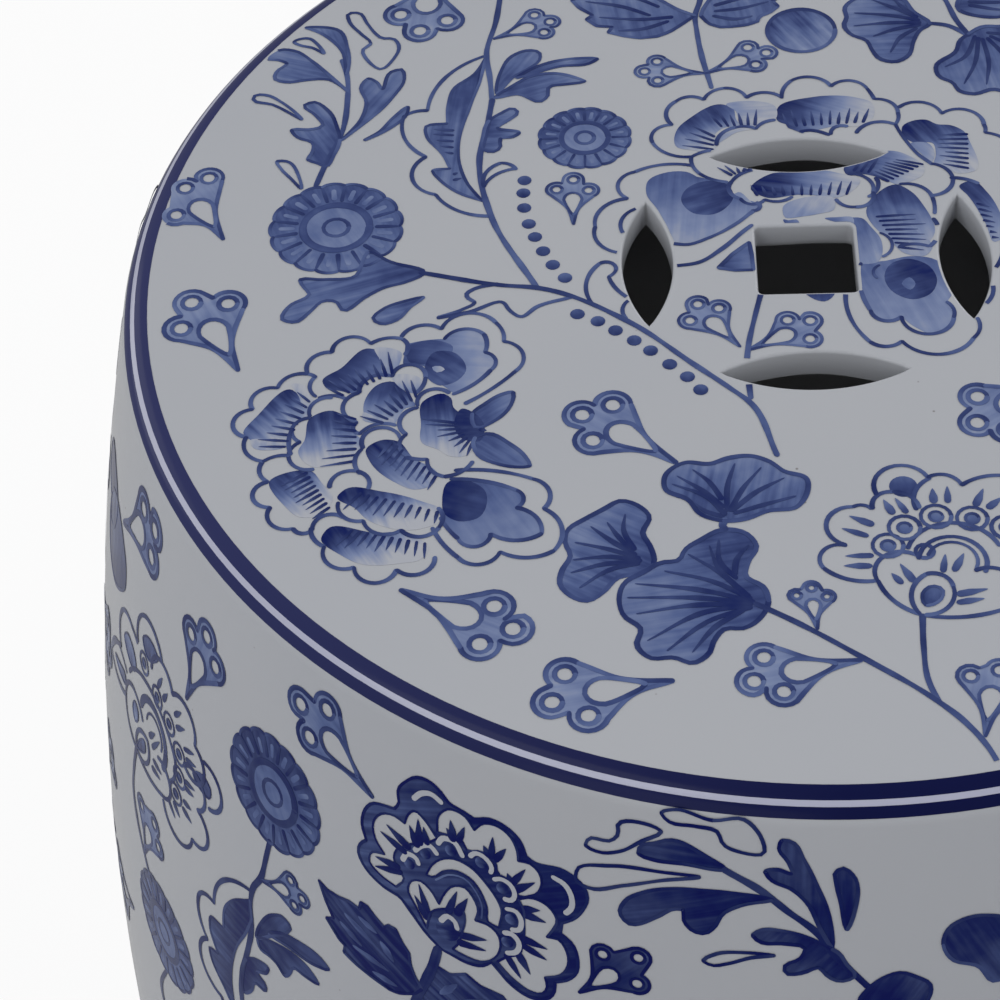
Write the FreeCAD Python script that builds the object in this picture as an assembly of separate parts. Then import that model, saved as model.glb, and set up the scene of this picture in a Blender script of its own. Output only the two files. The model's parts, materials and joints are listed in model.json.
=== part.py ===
import FreeCAD, Part
import math
import os

# Barrel-shaped glazed ceramic garden stool, standing on the floor, +Z up.
# The origin is on the floor under the middle of the seat, and all sizes are in millimetres.
# The stool is made of clay sections that are joined with slip while they are leather hard:
# a pierced seat disc, a bulging wall, and a foot ring with an open middle. A coil of clay is
# pressed into each inside corner to hold the sections together, and four rubber bumpers are
# stuck under the foot ring.

# Overall form
STOOL_HEIGHT = 457.0
WAIST_RADIUS = 166.0
RIM_RADIUS = 139.7
WALL_THICKNESS = 8.0

# Seat disc
SEAT_THICKNESS = 7.0
SHOULDER_RADIUS = 7.0

# Foot ring, with a relieved step between its open middle and the flat land that it stands on
FOOT_THICKNESS = 11.0
FOOT_EDGE_RADIUS = 5.0
FOOT_HOLE_RADIUS = 100.0
FOOT_STEP_WIDTH = 9.0
FOOT_STEP_DEPTH = 3.0

# Coils in the inside corners: leg length of the section, its rounded nose and the gap to the wall
COIL_LEG = 12.0
COIL_HOLLOW = 3.0
COIL_NOSE = 1.5
COIL_GAP = 0.3

# Rubber bumpers: they keep the margin from both edges of the flat land
PAD_HEIGHT = 3.0
PAD_MARGIN = 2.8
PAD_TAPER = 1.5
PAD_NAMES = ("right_back", "left_back", "left_front", "right_front")
FIRST_PAD_ANGLE = 45.0

# Pierced coin motif: a square in the middle of four pointed lens-shaped slots. It is in the middle
# of the seat, and at the waist of the wall on its left and right
SQUARE_SIDE = 20.2
LENS_LENGTH = 37.2
LENS_WIDTH = 10.4
LENS_OFFSET = 32.4
LENS_COUNT = 4
CUT_MARGIN = 5.0

MID_HEIGHT = STOOL_HEIGHT / 2
FOOT_BOTTOM = PAD_HEIGHT
FOOT_TOP = FOOT_BOTTOM + FOOT_THICKNESS
SEAT_BOTTOM = STOOL_HEIGHT - SEAT_THICKNESS

# The outside of the barrel is one large arc whose centre lies level with the waist
BULGE = WAIST_RADIUS - RIM_RADIUS
ARC_RADIUS = (MID_HEIGHT**2 + BULGE**2) / (2 * BULGE)
ARC_CENTRE = WAIST_RADIUS - ARC_RADIUS


def point(radius, height):
    """A point of a turned section, in the XZ plane."""
    return FreeCAD.Vector(radius, 0, height)


def barrel_radius(height, inset=0.0):
    """Radius of the barrel at a height, taken that far inside its outer face."""
    rise = height - MID_HEIGHT
    return ARC_CENTRE + math.sqrt((ARC_RADIUS - inset) ** 2 - rise**2)


def barrel_arc(low, high, inset=0.0):
    """Edge of the barrel's section from one height to another."""
    middle = (low + high) / 2
    ends = [point(barrel_radius(z, inset), z) for z in (low, middle, high)]
    return Part.Arc(*ends).toShape()


def line(start, end):
    return Part.LineSegment(start, end).toShape()


def turned(edges):
    """Solid of revolution about the stool's axis from a closed section."""
    face = Part.Face(Part.Wire(edges))
    return face.revolve(FreeCAD.Vector(), FreeCAD.Vector(0, 0, 1), 360)


def edge_rounding(radius, thickness, side):
    """Round between the flat seat or sole and the barrel: side is 1 at the top and -1 at the foot.

    The round stays within the section's thickness. Returns the point on the flat face, one half way
    round and the one on the barrel."""
    radius = min(radius, thickness)
    flat = STOOL_HEIGHT if side > 0 else FOOT_BOTTOM
    centre_z = flat - side * radius
    reach = ARC_RADIUS - radius
    centre_r = ARC_CENTRE + math.sqrt(reach**2 - (centre_z - MID_HEIGHT) ** 2)
    lean = math.atan2(centre_z - MID_HEIGHT, centre_r - ARC_CENTRE)
    half = (side * math.pi / 2 + lean) / 2
    angles = (side * math.pi / 2, half, lean)
    return [
        point(centre_r + radius * math.cos(a), centre_z + radius * math.sin(a))
        for a in angles
    ]


def lens_cutter(depth, angle):
    """Prism of a pointed lens made of two equal arcs, side on to the middle of the motif."""
    middle = FreeCAD.Vector(LENS_OFFSET, 0, 0)
    tip = FreeCAD.Vector(0, LENS_LENGTH / 2, 0)
    bow = FreeCAD.Vector(LENS_WIDTH / 2, 0, 0)
    arcs = [
        Part.Arc(middle - tip, middle + bow, middle + tip).toShape(),
        Part.Arc(middle + tip, middle - bow, middle - tip).toShape(),
    ]
    prism = Part.Face(Part.Wire(arcs)).extrude(FreeCAD.Vector(0, 0, depth))
    prism.rotate(FreeCAD.Vector(), FreeCAD.Vector(0, 0, 1), angle)
    return prism


def coin_cutters(depth):
    """Prisms of the pierced coin motif, standing on the XY plane and centred on Z."""
    corner = FreeCAD.Vector(-SQUARE_SIDE / 2, -SQUARE_SIDE / 2, 0)
    cutters = [Part.makeBox(SQUARE_SIDE, SQUARE_SIDE, depth, corner)]
    for number in range(LENS_COUNT):
        cutters.append(lens_cutter(depth, 360.0 * number / LENS_COUNT))
    return cutters


def seat_disc():
    """Flat disc with a rounded shoulder, pierced by the coin motif."""
    top, round_mid, round_end = edge_rounding(SHOULDER_RADIUS, SEAT_THICKNESS, 1)
    foot = point(barrel_radius(SEAT_BOTTOM), SEAT_BOTTOM)
    edges = [
        line(point(0, SEAT_BOTTOM), point(0, STOOL_HEIGHT)),
        line(point(0, STOOL_HEIGHT), top),
        Part.Arc(top, round_mid, round_end).toShape(),
        barrel_arc(round_end.z, SEAT_BOTTOM),
        line(foot, point(0, SEAT_BOTTOM)),
    ]
    disc = turned(edges)
    cutters = coin_cutters(SEAT_THICKNESS + 2 * CUT_MARGIN)
    for cutter in cutters:
        cutter.translate(FreeCAD.Vector(0, 0, SEAT_BOTTOM - CUT_MARGIN))
    return disc.cut(cutters)


def barrel_wall():
    """Bulging wall, open at both ends, with the coin motif through its left and right as hand-holds."""
    low, high = FOOT_TOP, SEAT_BOTTOM
    inset = WALL_THICKNESS
    edges = [
        barrel_arc(low, high),
        line(point(barrel_radius(high), high), point(barrel_radius(high, inset), high)),
        barrel_arc(high, low, inset),
        line(point(barrel_radius(low, inset), low), point(barrel_radius(low), low)),
    ]
    wall = turned(edges)
    reach = 2 * (WAIST_RADIUS + CUT_MARGIN)
    cutters = coin_cutters(reach)
    for cutter in cutters:
        cutter.translate(FreeCAD.Vector(0, 0, -reach / 2))
        cutter.rotate(FreeCAD.Vector(), FreeCAD.Vector(0, 1, 0), 90)
        cutter.translate(FreeCAD.Vector(0, 0, MID_HEIGHT))
    return wall.cut(cutters)


def foot_ring():
    """Ring that closes in under the wall: a flat land to stand on, stepped back at its open middle."""
    land_end, round_mid, round_end = edge_rounding(FOOT_EDGE_RADIUS, FOOT_THICKNESS, -1)
    land_start = point(FOOT_HOLE_RADIUS + FOOT_STEP_WIDTH, FOOT_BOTTOM)
    step_z = FOOT_BOTTOM + FOOT_STEP_DEPTH
    slope_top = point(land_start.x - FOOT_STEP_DEPTH, step_z)
    hole_low = point(FOOT_HOLE_RADIUS, step_z)
    hole_high = point(FOOT_HOLE_RADIUS, FOOT_TOP)
    edges = [
        line(hole_low, hole_high),
        line(hole_high, point(barrel_radius(FOOT_TOP), FOOT_TOP)),
        barrel_arc(FOOT_TOP, round_end.z),
        Part.Arc(round_end, round_mid, land_end).toShape(),
        line(land_end, land_start),
        line(land_start, slope_top),
        line(slope_top, hole_low),
    ]
    return turned(edges)


def luting_coil(flat, side):
    """Clay pressed into the corner between the wall and a flat section, with a hollow face.

    flat is the height of the flat face, and side is 1 where the coil stands on it, -1 where it hangs."""
    far = flat + side * COIL_LEG
    inset = WALL_THICKNESS + COIL_GAP
    corner = point(barrel_radius(flat, inset), flat)
    upright = point(barrel_radius(far, inset), far)
    nose_up = point(upright.x - COIL_NOSE, far)
    nose_in = point(corner.x - COIL_LEG, flat + side * COIL_NOSE)
    base_in = point(corner.x - COIL_LEG, flat)
    middle = (nose_up + nose_in) * 0.5
    hollow = point(middle.x + COIL_HOLLOW / math.sqrt(2), middle.z - side * COIL_HOLLOW / math.sqrt(2))
    edges = [
        barrel_arc(flat, far, inset),
        line(upright, nose_up),
        Part.Arc(nose_up, hollow, nose_in).toShape(),
        line(nose_in, base_in),
        line(base_in, corner),
    ]
    return turned(edges)


def foot_pad(angle):
    """Tapered rubber bumper, in the middle of the foot ring's flat land."""
    land_start = FOOT_HOLE_RADIUS + FOOT_STEP_WIDTH
    land_end = edge_rounding(FOOT_EDGE_RADIUS, FOOT_THICKNESS, -1)[0].x
    radius = (land_end - land_start) / 2 - PAD_MARGIN
    pitch_radius = (land_start + land_end) / 2
    base = FreeCAD.Vector(
        pitch_radius * math.cos(math.radians(angle)),
        pitch_radius * math.sin(math.radians(angle)),
        0,
    )
    return Part.makeCone(radius - PAD_TAPER, radius, PAD_HEIGHT, base)


def write_parts():
    os.makedirs("parts", exist_ok=True)
    parts = {
        "seat_disc": seat_disc(),
        "barrel_wall": barrel_wall(),
        "foot_ring": foot_ring(),
        "seat_luting_coil": luting_coil(SEAT_BOTTOM, -1),
        "foot_luting_coil": luting_coil(FOOT_TOP, 1),
    }
    step = 360.0 / len(PAD_NAMES)
    for number, name in enumerate(PAD_NAMES):
        parts["foot_pad_" + name] = foot_pad(FIRST_PAD_ANGLE + number * step)
    for name, shape in parts.items():
        print(name, "valid", shape.isValid(), "solids", len(shape.Solids), "volume", round(shape.Volume))
        shape.exportStep("parts/" + name + ".step")


write_parts()
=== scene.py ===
import json
import math
import random

import bpy
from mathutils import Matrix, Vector
from mathutils.geometry import delaunay_2d_cdt

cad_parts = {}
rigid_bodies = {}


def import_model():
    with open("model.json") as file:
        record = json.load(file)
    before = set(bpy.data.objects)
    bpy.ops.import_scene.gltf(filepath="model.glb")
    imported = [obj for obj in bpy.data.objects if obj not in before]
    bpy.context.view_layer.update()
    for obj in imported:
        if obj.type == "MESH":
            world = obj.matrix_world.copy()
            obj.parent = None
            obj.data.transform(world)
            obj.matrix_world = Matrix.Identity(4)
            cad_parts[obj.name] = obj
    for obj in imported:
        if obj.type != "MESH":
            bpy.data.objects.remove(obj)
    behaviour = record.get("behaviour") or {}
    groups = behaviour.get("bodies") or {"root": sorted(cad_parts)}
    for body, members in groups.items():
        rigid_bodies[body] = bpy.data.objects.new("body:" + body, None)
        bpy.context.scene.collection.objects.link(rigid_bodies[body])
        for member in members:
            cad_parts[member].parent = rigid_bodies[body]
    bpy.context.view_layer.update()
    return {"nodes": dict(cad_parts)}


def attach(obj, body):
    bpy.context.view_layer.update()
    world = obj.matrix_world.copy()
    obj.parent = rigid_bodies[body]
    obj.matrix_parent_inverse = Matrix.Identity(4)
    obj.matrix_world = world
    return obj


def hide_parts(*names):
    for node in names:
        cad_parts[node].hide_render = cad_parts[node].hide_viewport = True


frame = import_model()

# Seat
# A flat round slab of white stoneware, cut with a square between four pointed lenses while it was
# leather hard. It has a rounded shoulder, and the glaze has run a little round every cut edge.
MM = 0.001
JOIN_GAP = 0.002
GLAZE_BACK = 0.22
HEIGHT = 457.0 - GLAZE_BACK
SEAT_UNDERSIDE = 450.0
SEAT_FLAT_RADIUS = 134.13
SHOULDER_RADIUS = 7.0 - GLAZE_BACK
SQUARE_SIDE = 20.2
LENS_LENGTH = 37.2
LENS_WIDTH = 10.4
LENS_OFFSET = 32.4
CUT_ROUNDING = 0.7
CUT_STEPS = 4
LENS_CLEANED = 0.5
SQUARE_CLEANED = 2.3
FINGER_SWING = 0.2
SHOULDER_STEPS = 10
FREE_GAP = 1.6
TURNED_STEPS = 192
WAIST_RADIUS = 166.0
WAIST_HEIGHT = 228.5
END_RADIUS = 139.7
BULGE = WAIST_RADIUS - END_RADIUS
ARC_RADIUS = (WAIST_HEIGHT**2 + BULGE**2) / (2 * BULGE)
ARC_CENTRE = WAIST_RADIUS - ARC_RADIUS


def barrel_radius(height, inset=GLAZE_BACK):
    """Radius of the barrel at a height, that far inside its outer face, in mm."""
    rise = height - WAIST_HEIGHT
    return ARC_CENTRE + math.sqrt((ARC_RADIUS - inset) ** 2 - rise**2)


def pick(piece):
    """Make a piece the only selected and active one."""
    for other in bpy.context.view_layer.objects:
        other.select_set(False)
    piece.select_set(True)
    bpy.context.view_layer.objects.active = piece


def mesh_piece(name, points, edges=(), faces=()):
    """New object at the origin from points in mm."""
    mesh = bpy.data.meshes.new(name)
    mesh.from_pydata([Vector(p) * MM for p in points], edges, faces)
    mesh.update()
    piece = bpy.data.objects.new(name, mesh)
    bpy.context.scene.collection.objects.link(piece)
    pick(piece)
    return piece


def turned(name, section):
    """Spin a closed section of (radius, height) points round the stool's axis."""
    points = [(radius, 0, height) for radius, height in section]
    edges = [(i, (i + 1) % len(points)) for i in range(len(points))]
    piece = mesh_piece(name, points, edges)
    bpy.ops.object.mode_set(mode="EDIT")
    bpy.ops.mesh.select_all(action="SELECT")
    bpy.ops.mesh.spin(steps=TURNED_STEPS, angle=math.tau, center=(0, 0, 0), axis=(0, 0, 1))
    bpy.ops.mesh.select_all(action="SELECT")
    bpy.ops.mesh.remove_doubles(threshold=JOIN_GAP * MM)
    bpy.ops.mesh.normals_make_consistent(inside=False)
    bpy.ops.object.mode_set(mode="OBJECT")
    return piece


def round_points(centre, radius, start, end, count):
    """Points of an arc of a section, angles in degrees."""
    points = []
    for i in range(count + 1):
        angle = math.radians(start + (end - start) * i / count)
        points.append((centre[0] + radius * math.cos(angle), centre[1] + radius * math.sin(angle)))
    return points


def smooth(piece, degrees=40, keep_flats=True):
    """Smooth shading, with the flat faces kept flat up to their rounded edges."""
    pick(piece)
    bpy.ops.object.shade_smooth_by_angle(angle=math.radians(degrees))
    if keep_flats:
        weighted = piece.modifiers.new("Weighted normals", "WEIGHTED_NORMAL")
        weighted.keep_sharp = True
        bpy.ops.object.modifier_apply(modifier=weighted.name)


half_length = LENS_LENGTH / 2
half_width = LENS_WIDTH / 2
lens_arc_radius = (half_length**2 + half_width**2) / LENS_WIDTH


def inside(point, ring):
    """Whether a point lies in a closed outline."""
    x, y = point[0], point[1]
    found = False
    for (x0, y0), (x1, y1) in zip(ring, ring[1:] + ring[:1]):
        if (y0 > y) != (y1 > y) and x < (x1 - x0) * (y - y0) / (y1 - y0) + x0:
            found = not found
    return found


def fill_outline(rings, spare=(), gap=FREE_GAP):
    """Triangles between an outer outline and its holes, through spare points that keep a gap."""
    points = []
    edges = []
    for ring in rings:
        first = len(points)
        points += ring
        edges += [(first + i, first + (i + 1) % len(ring)) for i in range(len(ring))]
    fixed = list(points)
    for spot in spare:
        if not inside(spot, rings[0]) or any(inside(spot, hole) for hole in rings[1:]):
            continue
        nearest = min((spot[0] - x) ** 2 + (spot[1] - y) ** 2 for x, y in fixed)
        if nearest > gap**2:
            points.append(spot)
    filled = delaunay_2d_cdt([Vector(p) for p in points], edges, [], 0, 1e-6)
    spots = [(p.x, p.y) for p in filled[0]]
    faces = []
    for face in filled[2]:
        middle = [sum(spots[i][axis] for i in face) / len(face) for axis in (0, 1)]
        if inside(middle, rings[0]) and not any(inside(middle, hole) for hole in rings[1:]):
            faces.append(tuple(face))
    return spots, faces


def turned_points(radius):
    """Points of a circle round the stool's axis, one for each step that a section is turned in."""
    angles = [math.tau * column / TURNED_STEPS for column in range(TURNED_STEPS)]
    return [(radius * math.cos(angle), radius * math.sin(angle)) for angle in angles]


def sheet(base, count, rows, inwards=False):
    """Faces between closed rows of points that follow each other in a mesh."""
    faces = []
    for row in range(rows - 1):
        for i in range(count):
            following = (i + 1) % count
            a = base + row * count
            b = a + count
            if inwards:
                faces.append((a + i, a + following, b + following, b + i))
            else:
                faces.append((a + i, b + i, b + following, a + following))
    return faces


def lens_outline(angle, steps=26):
    """Outline of one lens of the coin cut, turned about the middle, with its outward normals."""
    points = []
    arc_half = math.degrees(math.asin(half_length / lens_arc_radius))
    for side in (0, 180):
        centre = -(lens_arc_radius - half_width)
        for i in range(steps):
            swing = math.radians(-arc_half + 2 * arc_half * i / steps)
            x = centre + lens_arc_radius * math.cos(swing)
            y = lens_arc_radius * math.sin(swing)
            normal = (math.cos(swing), math.sin(swing))
            if i == 0:
                normal = (0.0, -1.0)
            if side:
                x, y = -x, -y
                normal = (-normal[0], -normal[1])
            x += LENS_OFFSET
            turn = math.radians(angle)
            cos, sin = math.cos(turn), math.sin(turn)
            normal = (normal[0] * cos - normal[1] * sin, normal[0] * sin + normal[1] * cos)
            points.append((x * cos - y * sin, x * sin + y * cos, *normal))
    return points


def square_outline(corner=1.2, steps=4, run=6):
    """Outline of the square of the coin cut, with softened corners and its outward normals."""
    points = []
    reach = SQUARE_SIDE / 2 - corner
    for quarter in range(4):
        base = math.pi / 2 * quarter
        for i in range(steps + 1):
            angle = base + math.pi / 2 * i / steps
            cx = reach if quarter in (0, 3) else -reach
            cy = reach if quarter in (0, 1) else -reach
            normal = (math.cos(angle), math.sin(angle))
            points.append((cx + corner * normal[0], cy + corner * normal[1], *normal))
        for i in range(1, run):
            share = 1 - 2 * i / run
            normal = (math.cos(base + math.pi / 2), math.sin(base + math.pi / 2))
            x = normal[0] * SQUARE_SIDE / 2 + normal[1] * reach * share
            y = normal[1] * SQUARE_SIDE / 2 + -normal[0] * reach * share
            points.append((x, y, *normal))
    return points


def wavy(x, y, amount):
    """A slow uneven swing along a cut edge, as a wet fingertip leaves it."""
    return amount * (math.sin(0.31 * x + 0.8) + math.sin(0.23 * y - 0.17 * x))


coin_cuts = [(lens_outline(90.0 * quarter), LENS_CLEANED) for quarter in range(4)]
coin_cuts.append((square_outline(), SQUARE_CLEANED))
swings = [math.pi / 2 * step / CUT_STEPS for step in range(CUT_STEPS + 1)]
seat_points = []
seat_faces = []
rims = {HEIGHT: [], SEAT_UNDERSIDE: []}
for cut, cleaned in coin_cuts:
    rows = []
    for swing in swings:
        grow = CUT_ROUNDING - CUT_ROUNDING * math.sin(swing)
        height = HEIGHT - CUT_ROUNDING * (1 - math.cos(swing))
        rows.append([(x + nx * grow, y + ny * grow, height) for x, y, nx, ny in cut])
    for swing in swings:
        row = []
        for x, y, nx, ny in cut:
            chamfer = cleaned + wavy(x, y, FINGER_SWING)
            grow = chamfer * (1 - math.cos(swing))
            row.append((x + nx * grow, y + ny * grow, SEAT_UNDERSIDE + chamfer * (1 - math.sin(swing))))
        rows.append(row)
    for height, row in ((HEIGHT, rows[0]), (SEAT_UNDERSIDE, rows[-1])):
        rims[height].append([point[:2] for point in row])
    seat_faces += sheet(len(seat_points), len(cut), len(rows))
    for row in rows:
        seat_points += row
lean = math.degrees(math.atan2(SEAT_UNDERSIDE - WAIST_HEIGHT, SEAT_FLAT_RADIUS - ARC_CENTRE))
shoulder = round_points((SEAT_FLAT_RADIUS, SEAT_UNDERSIDE), SHOULDER_RADIUS, 90, lean, SHOULDER_STEPS)
shoulder.append((barrel_radius(SEAT_UNDERSIDE), SEAT_UNDERSIDE))
seat_faces += sheet(len(seat_points), TURNED_STEPS, len(shoulder))
for radius, height in shoulder:
    seat_points += [(x, y, height) for x, y in turned_points(radius)]
for height, radius in ((HEIGHT, SEAT_FLAT_RADIUS), (SEAT_UNDERSIDE, barrel_radius(SEAT_UNDERSIDE))):
    spots, faces = fill_outline([turned_points(radius)] + rims[height])
    base = len(seat_points)
    seat_points += [(x, y, height) for x, y in spots]
    seat_faces += [tuple(base + i for i in face) for face in faces]
seat = mesh_piece("seat", seat_points, faces=seat_faces)


def close_shell(piece):
    """Join the sheets of a piece at their shared points, with every face outwards."""
    pick(piece)
    bpy.ops.object.mode_set(mode="EDIT")
    bpy.ops.mesh.select_all(action="SELECT")
    bpy.ops.mesh.remove_doubles(threshold=JOIN_GAP * MM)
    bpy.ops.mesh.delete_loose()
    bpy.ops.mesh.select_all(action="SELECT")
    bpy.ops.mesh.normals_make_consistent(inside=False)
    bpy.ops.object.mode_set(mode="OBJECT")


def true_normals(piece):
    """Give the points of the flat seat and of the barrel's outside their exact normals."""
    normals = []
    for vertex in piece.data.vertices:
        place = vertex.co / MM
        reach = place.xy.length
        if abs(place.z - HEIGHT) < 0.01:
            normals.append((0.0, 0.0, 1.0))
        elif reach > 130 and abs(reach - barrel_radius(place.z)) < 0.02:
            out = place.xy.normalized()
            slope = (place.z - WAIST_HEIGHT) / ARC_RADIUS
            level = math.sqrt(1 - slope**2)
            normals.append((out.x * level, out.y * level, slope))
        else:
            normals.append((0.0, 0.0, 0.0))
    piece.data.normals_split_custom_set_from_vertices(normals)


close_shell(seat)
smooth(seat, degrees=50, keep_flats=False)
true_normals(seat)


def linear_colour(code):
    """Linear colour from an sRGB hex value."""
    values = [int(code[i : i + 2], 16) / 255 for i in (1, 3, 5)]
    linear = [v / 12.92 if v <= 0.04045 else ((v + 0.055) / 1.055) ** 2.4 for v in values]
    return (*linear, 1.0)


def add_node(tree, kind, settings=None, links=None):
    """Add a node, set its properties and sockets, and link sockets to others' outputs."""
    node = tree.nodes.new(kind)
    for name, value in (settings or {}).items():
        if hasattr(node, name):
            setattr(node, name, value)
        else:
            node.inputs[name].default_value = value
    for name, source in (links or {}).items():
        tree.links.new(source, node.inputs[name])
    return node


def blend(tree, share, *colours):
    """Two colours mixed by a share, each a hex value or another node's colour."""
    node = add_node(tree, "ShaderNodeMix", {"data_type": "RGBA"})
    tree.links.new(share, node.inputs[0])
    for socket, colour in zip((node.inputs[6], node.inputs[7]), colours):
        if isinstance(colour, str):
            socket.default_value = linear_colour(colour)
        else:
            tree.links.new(colour, socket)
    return node.outputs[2]


def new_material(name):
    """A material with its shader, whose sockets are then set."""
    material = bpy.data.materials.new(name)
    material.use_nodes = True
    tree = material.node_tree
    shader = tree.nodes["Principled BSDF"]
    return material, tree, shader


# White glaze: stoneware dipped in a milky glass and fired. The eye sees an even cool white with
# a soft gloss, slow swells in the reflections, a few dark iron specks and pinholes.
GLAZE_GLOSS = 0.16
GLAZE_IOR = 1.5
GLAZE_SHEEN = 0.16


def under_glaze(shader, share=1.0):
    """Give a colour the gloss of the clear glass over it, or a share of its sheen."""
    shader.inputs["Roughness"].default_value = GLAZE_GLOSS
    shader.inputs["IOR"].default_value = GLAZE_IOR
    shader.inputs["Specular IOR Level"].default_value = share * GLAZE_SHEEN


white_glaze, tree, shader = new_material("white_glazed_stoneware")
place = add_node(tree, "ShaderNodeTexCoord").outputs["Object"]
cloud = add_node(tree, "ShaderNodeTexNoise", {"Scale": 1 / (55 * MM), "Detail": 2.0}, {"Vector": place})
tint = blend(tree, cloud.outputs["Fac"], "#ADAFB4", "#A8ABB2")
cells = add_node(tree, "ShaderNodeTexVoronoi", {"Scale": 1 / (13 * MM)}, {"Vector": place})
size = {"From Min": 0.028, "From Max": 0.012, "To Min": 0.0, "To Max": 0.8}
speck = add_node(tree, "ShaderNodeMapRange", size, {"Value": cells.outputs["Distance"]})
speckled = blend(tree, speck.outputs["Result"], tint, "#6E6A68")
tree.links.new(speckled, shader.inputs["Base Color"])
swell = add_node(tree, "ShaderNodeTexNoise", {"Scale": 1 / (38 * MM), "Detail": 1.0}, {"Vector": place})
wave = {"Strength": 0.35, "Distance": 0.4 * MM}
ripple = add_node(tree, "ShaderNodeBump", wave, {"Height": swell.outputs["Fac"]})
tree.links.new(ripple.outputs["Normal"], shader.inputs["Normal"])
under_glaze(shader)
seat.data.materials.append(white_glaze)
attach(seat, "root")
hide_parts("seat_disc")


# Wall
# The bulging body, thrown or slip cast in the same stoneware and dipped in the same glaze. The
# coin cut of the seat is repeated through its left and right at the waist, as hand-holds.
WALL_THICKNESS = 8.0
WALL_BOTTOM = 14.0
WALL_ROWS = 60
HOLD_COLUMNS = 12
HOLD_ROWS = 8
OUTER_ROUNDING = 1.2
INNER_ROUNDING = 0.8
wall_height = SEAT_UNDERSIDE - WALL_BOTTOM
wall_heights = [WALL_BOTTOM + wall_height * row / WALL_ROWS for row in range(WALL_ROWS + 1)]
first_row = WALL_ROWS // 2 - HOLD_ROWS
last_row = WALL_ROWS // 2 + HOLD_ROWS
column_angle = math.tau / TURNED_STEPS
wall_points = []
wall_faces = []


def wall_point(x, height, depth, side, inset=GLAZE_BACK):
    """A point of the left or right wall over a place of the flat cut, that deep into the wall."""
    radius = barrel_radius(height, inset)
    reach = math.sqrt(max(radius**2 - x**2, 0)) - depth
    return (side * reach, side * x, height)


def hold_spot(row, column, inset):
    """Where a row and a column of the wall cross, on the flat drawing of a hand-hold."""
    height = wall_heights[row]
    return barrel_radius(height, inset) * math.sin(column * column_angle), height - WAIST_HEIGHT


for inset, outward in ((GLAZE_BACK, True), (WALL_THICKNESS, False)):
    base = len(wall_points)
    for height in wall_heights:
        wall_points += [(x, y, height) for x, y in turned_points(barrel_radius(height, inset))]
    for row in range(WALL_ROWS):
        for column in range(TURNED_STEPS):
            at = column + 0.5
            off_hold = min(at, abs(at - TURNED_STEPS / 2), TURNED_STEPS - at)
            if off_hold < HOLD_COLUMNS and first_row <= row < last_row:
                continue
            right = (column + 1) % TURNED_STEPS
            a = base + row * TURNED_STEPS
            b = a + TURNED_STEPS
            corners = (a + column, a + right, b + right, b + column)
            wall_faces.append(corners if outward else corners[::-1])
for row in (0, WALL_ROWS):
    outer = row * TURNED_STEPS
    inner = (WALL_ROWS + 1 + row) * TURNED_STEPS
    for column in range(TURNED_STEPS):
        right = (column + 1) % TURNED_STEPS
        corners = (outer + column, inner + column, inner + right, outer + right)
        wall_faces.append(corners if row == 0 else corners[::-1])

across = range(-HOLD_COLUMNS, HOLD_COLUMNS)
upward = range(first_row, last_row)
hold_border = [(first_row, column) for column in across]
hold_border += [(row, HOLD_COLUMNS) for row in upward]
hold_border += [(last_row, -column) for column in across]
hold_border += [(first_row + last_row - row, -HOLD_COLUMNS) for row in upward]
hold_middle = [(row, column) for row in upward[1:] for column in across[1:]]
for side in (-1, 1):
    for inset, rounding in ((GLAZE_BACK, OUTER_ROUNDING), (WALL_THICKNESS, INNER_ROUNDING)):
        rings = [[hold_spot(*place, inset) for place in hold_border]]
        for cut, cleaned in coin_cuts:
            rings.append([(x + nx * rounding, z + nz * rounding) for x, z, nx, nz in cut])
        spots, faces = fill_outline(rings, [hold_spot(*place, inset) for place in hold_middle])
        base = len(wall_points)
        for x, z in spots:
            wall_points.append(wall_point(x, z + WAIST_HEIGHT, 0, side, inset))
        wall_faces += [tuple(base + i for i in face) for face in faces]
    for cut, cleaned in coin_cuts:
        rows = []
        for inset, rounding, steps in (
            (GLAZE_BACK, OUTER_ROUNDING, swings), (WALL_THICKNESS, -INNER_ROUNDING, swings[::-1]),
        ):
            for swing in steps:
                rows.append((inset, abs(rounding) * (1 - math.sin(swing)), rounding * (1 - math.cos(swing))))
        wall_faces += sheet(len(wall_points), len(cut), len(rows), inwards=True)
        for inset, grow, depth in rows:
            for x, z, nx, nz in cut:
                place = (x + nx * grow, z + nz * grow + WAIST_HEIGHT)
                wall_points.append(wall_point(*place, depth, side, inset))
wall = mesh_piece("wall", wall_points, faces=wall_faces)
close_shell(wall)
smooth(wall, degrees=50, keep_flats=False)
true_normals(wall)
wall.data.materials.append(white_glaze)
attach(wall, "root")
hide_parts("barrel_wall")


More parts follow.
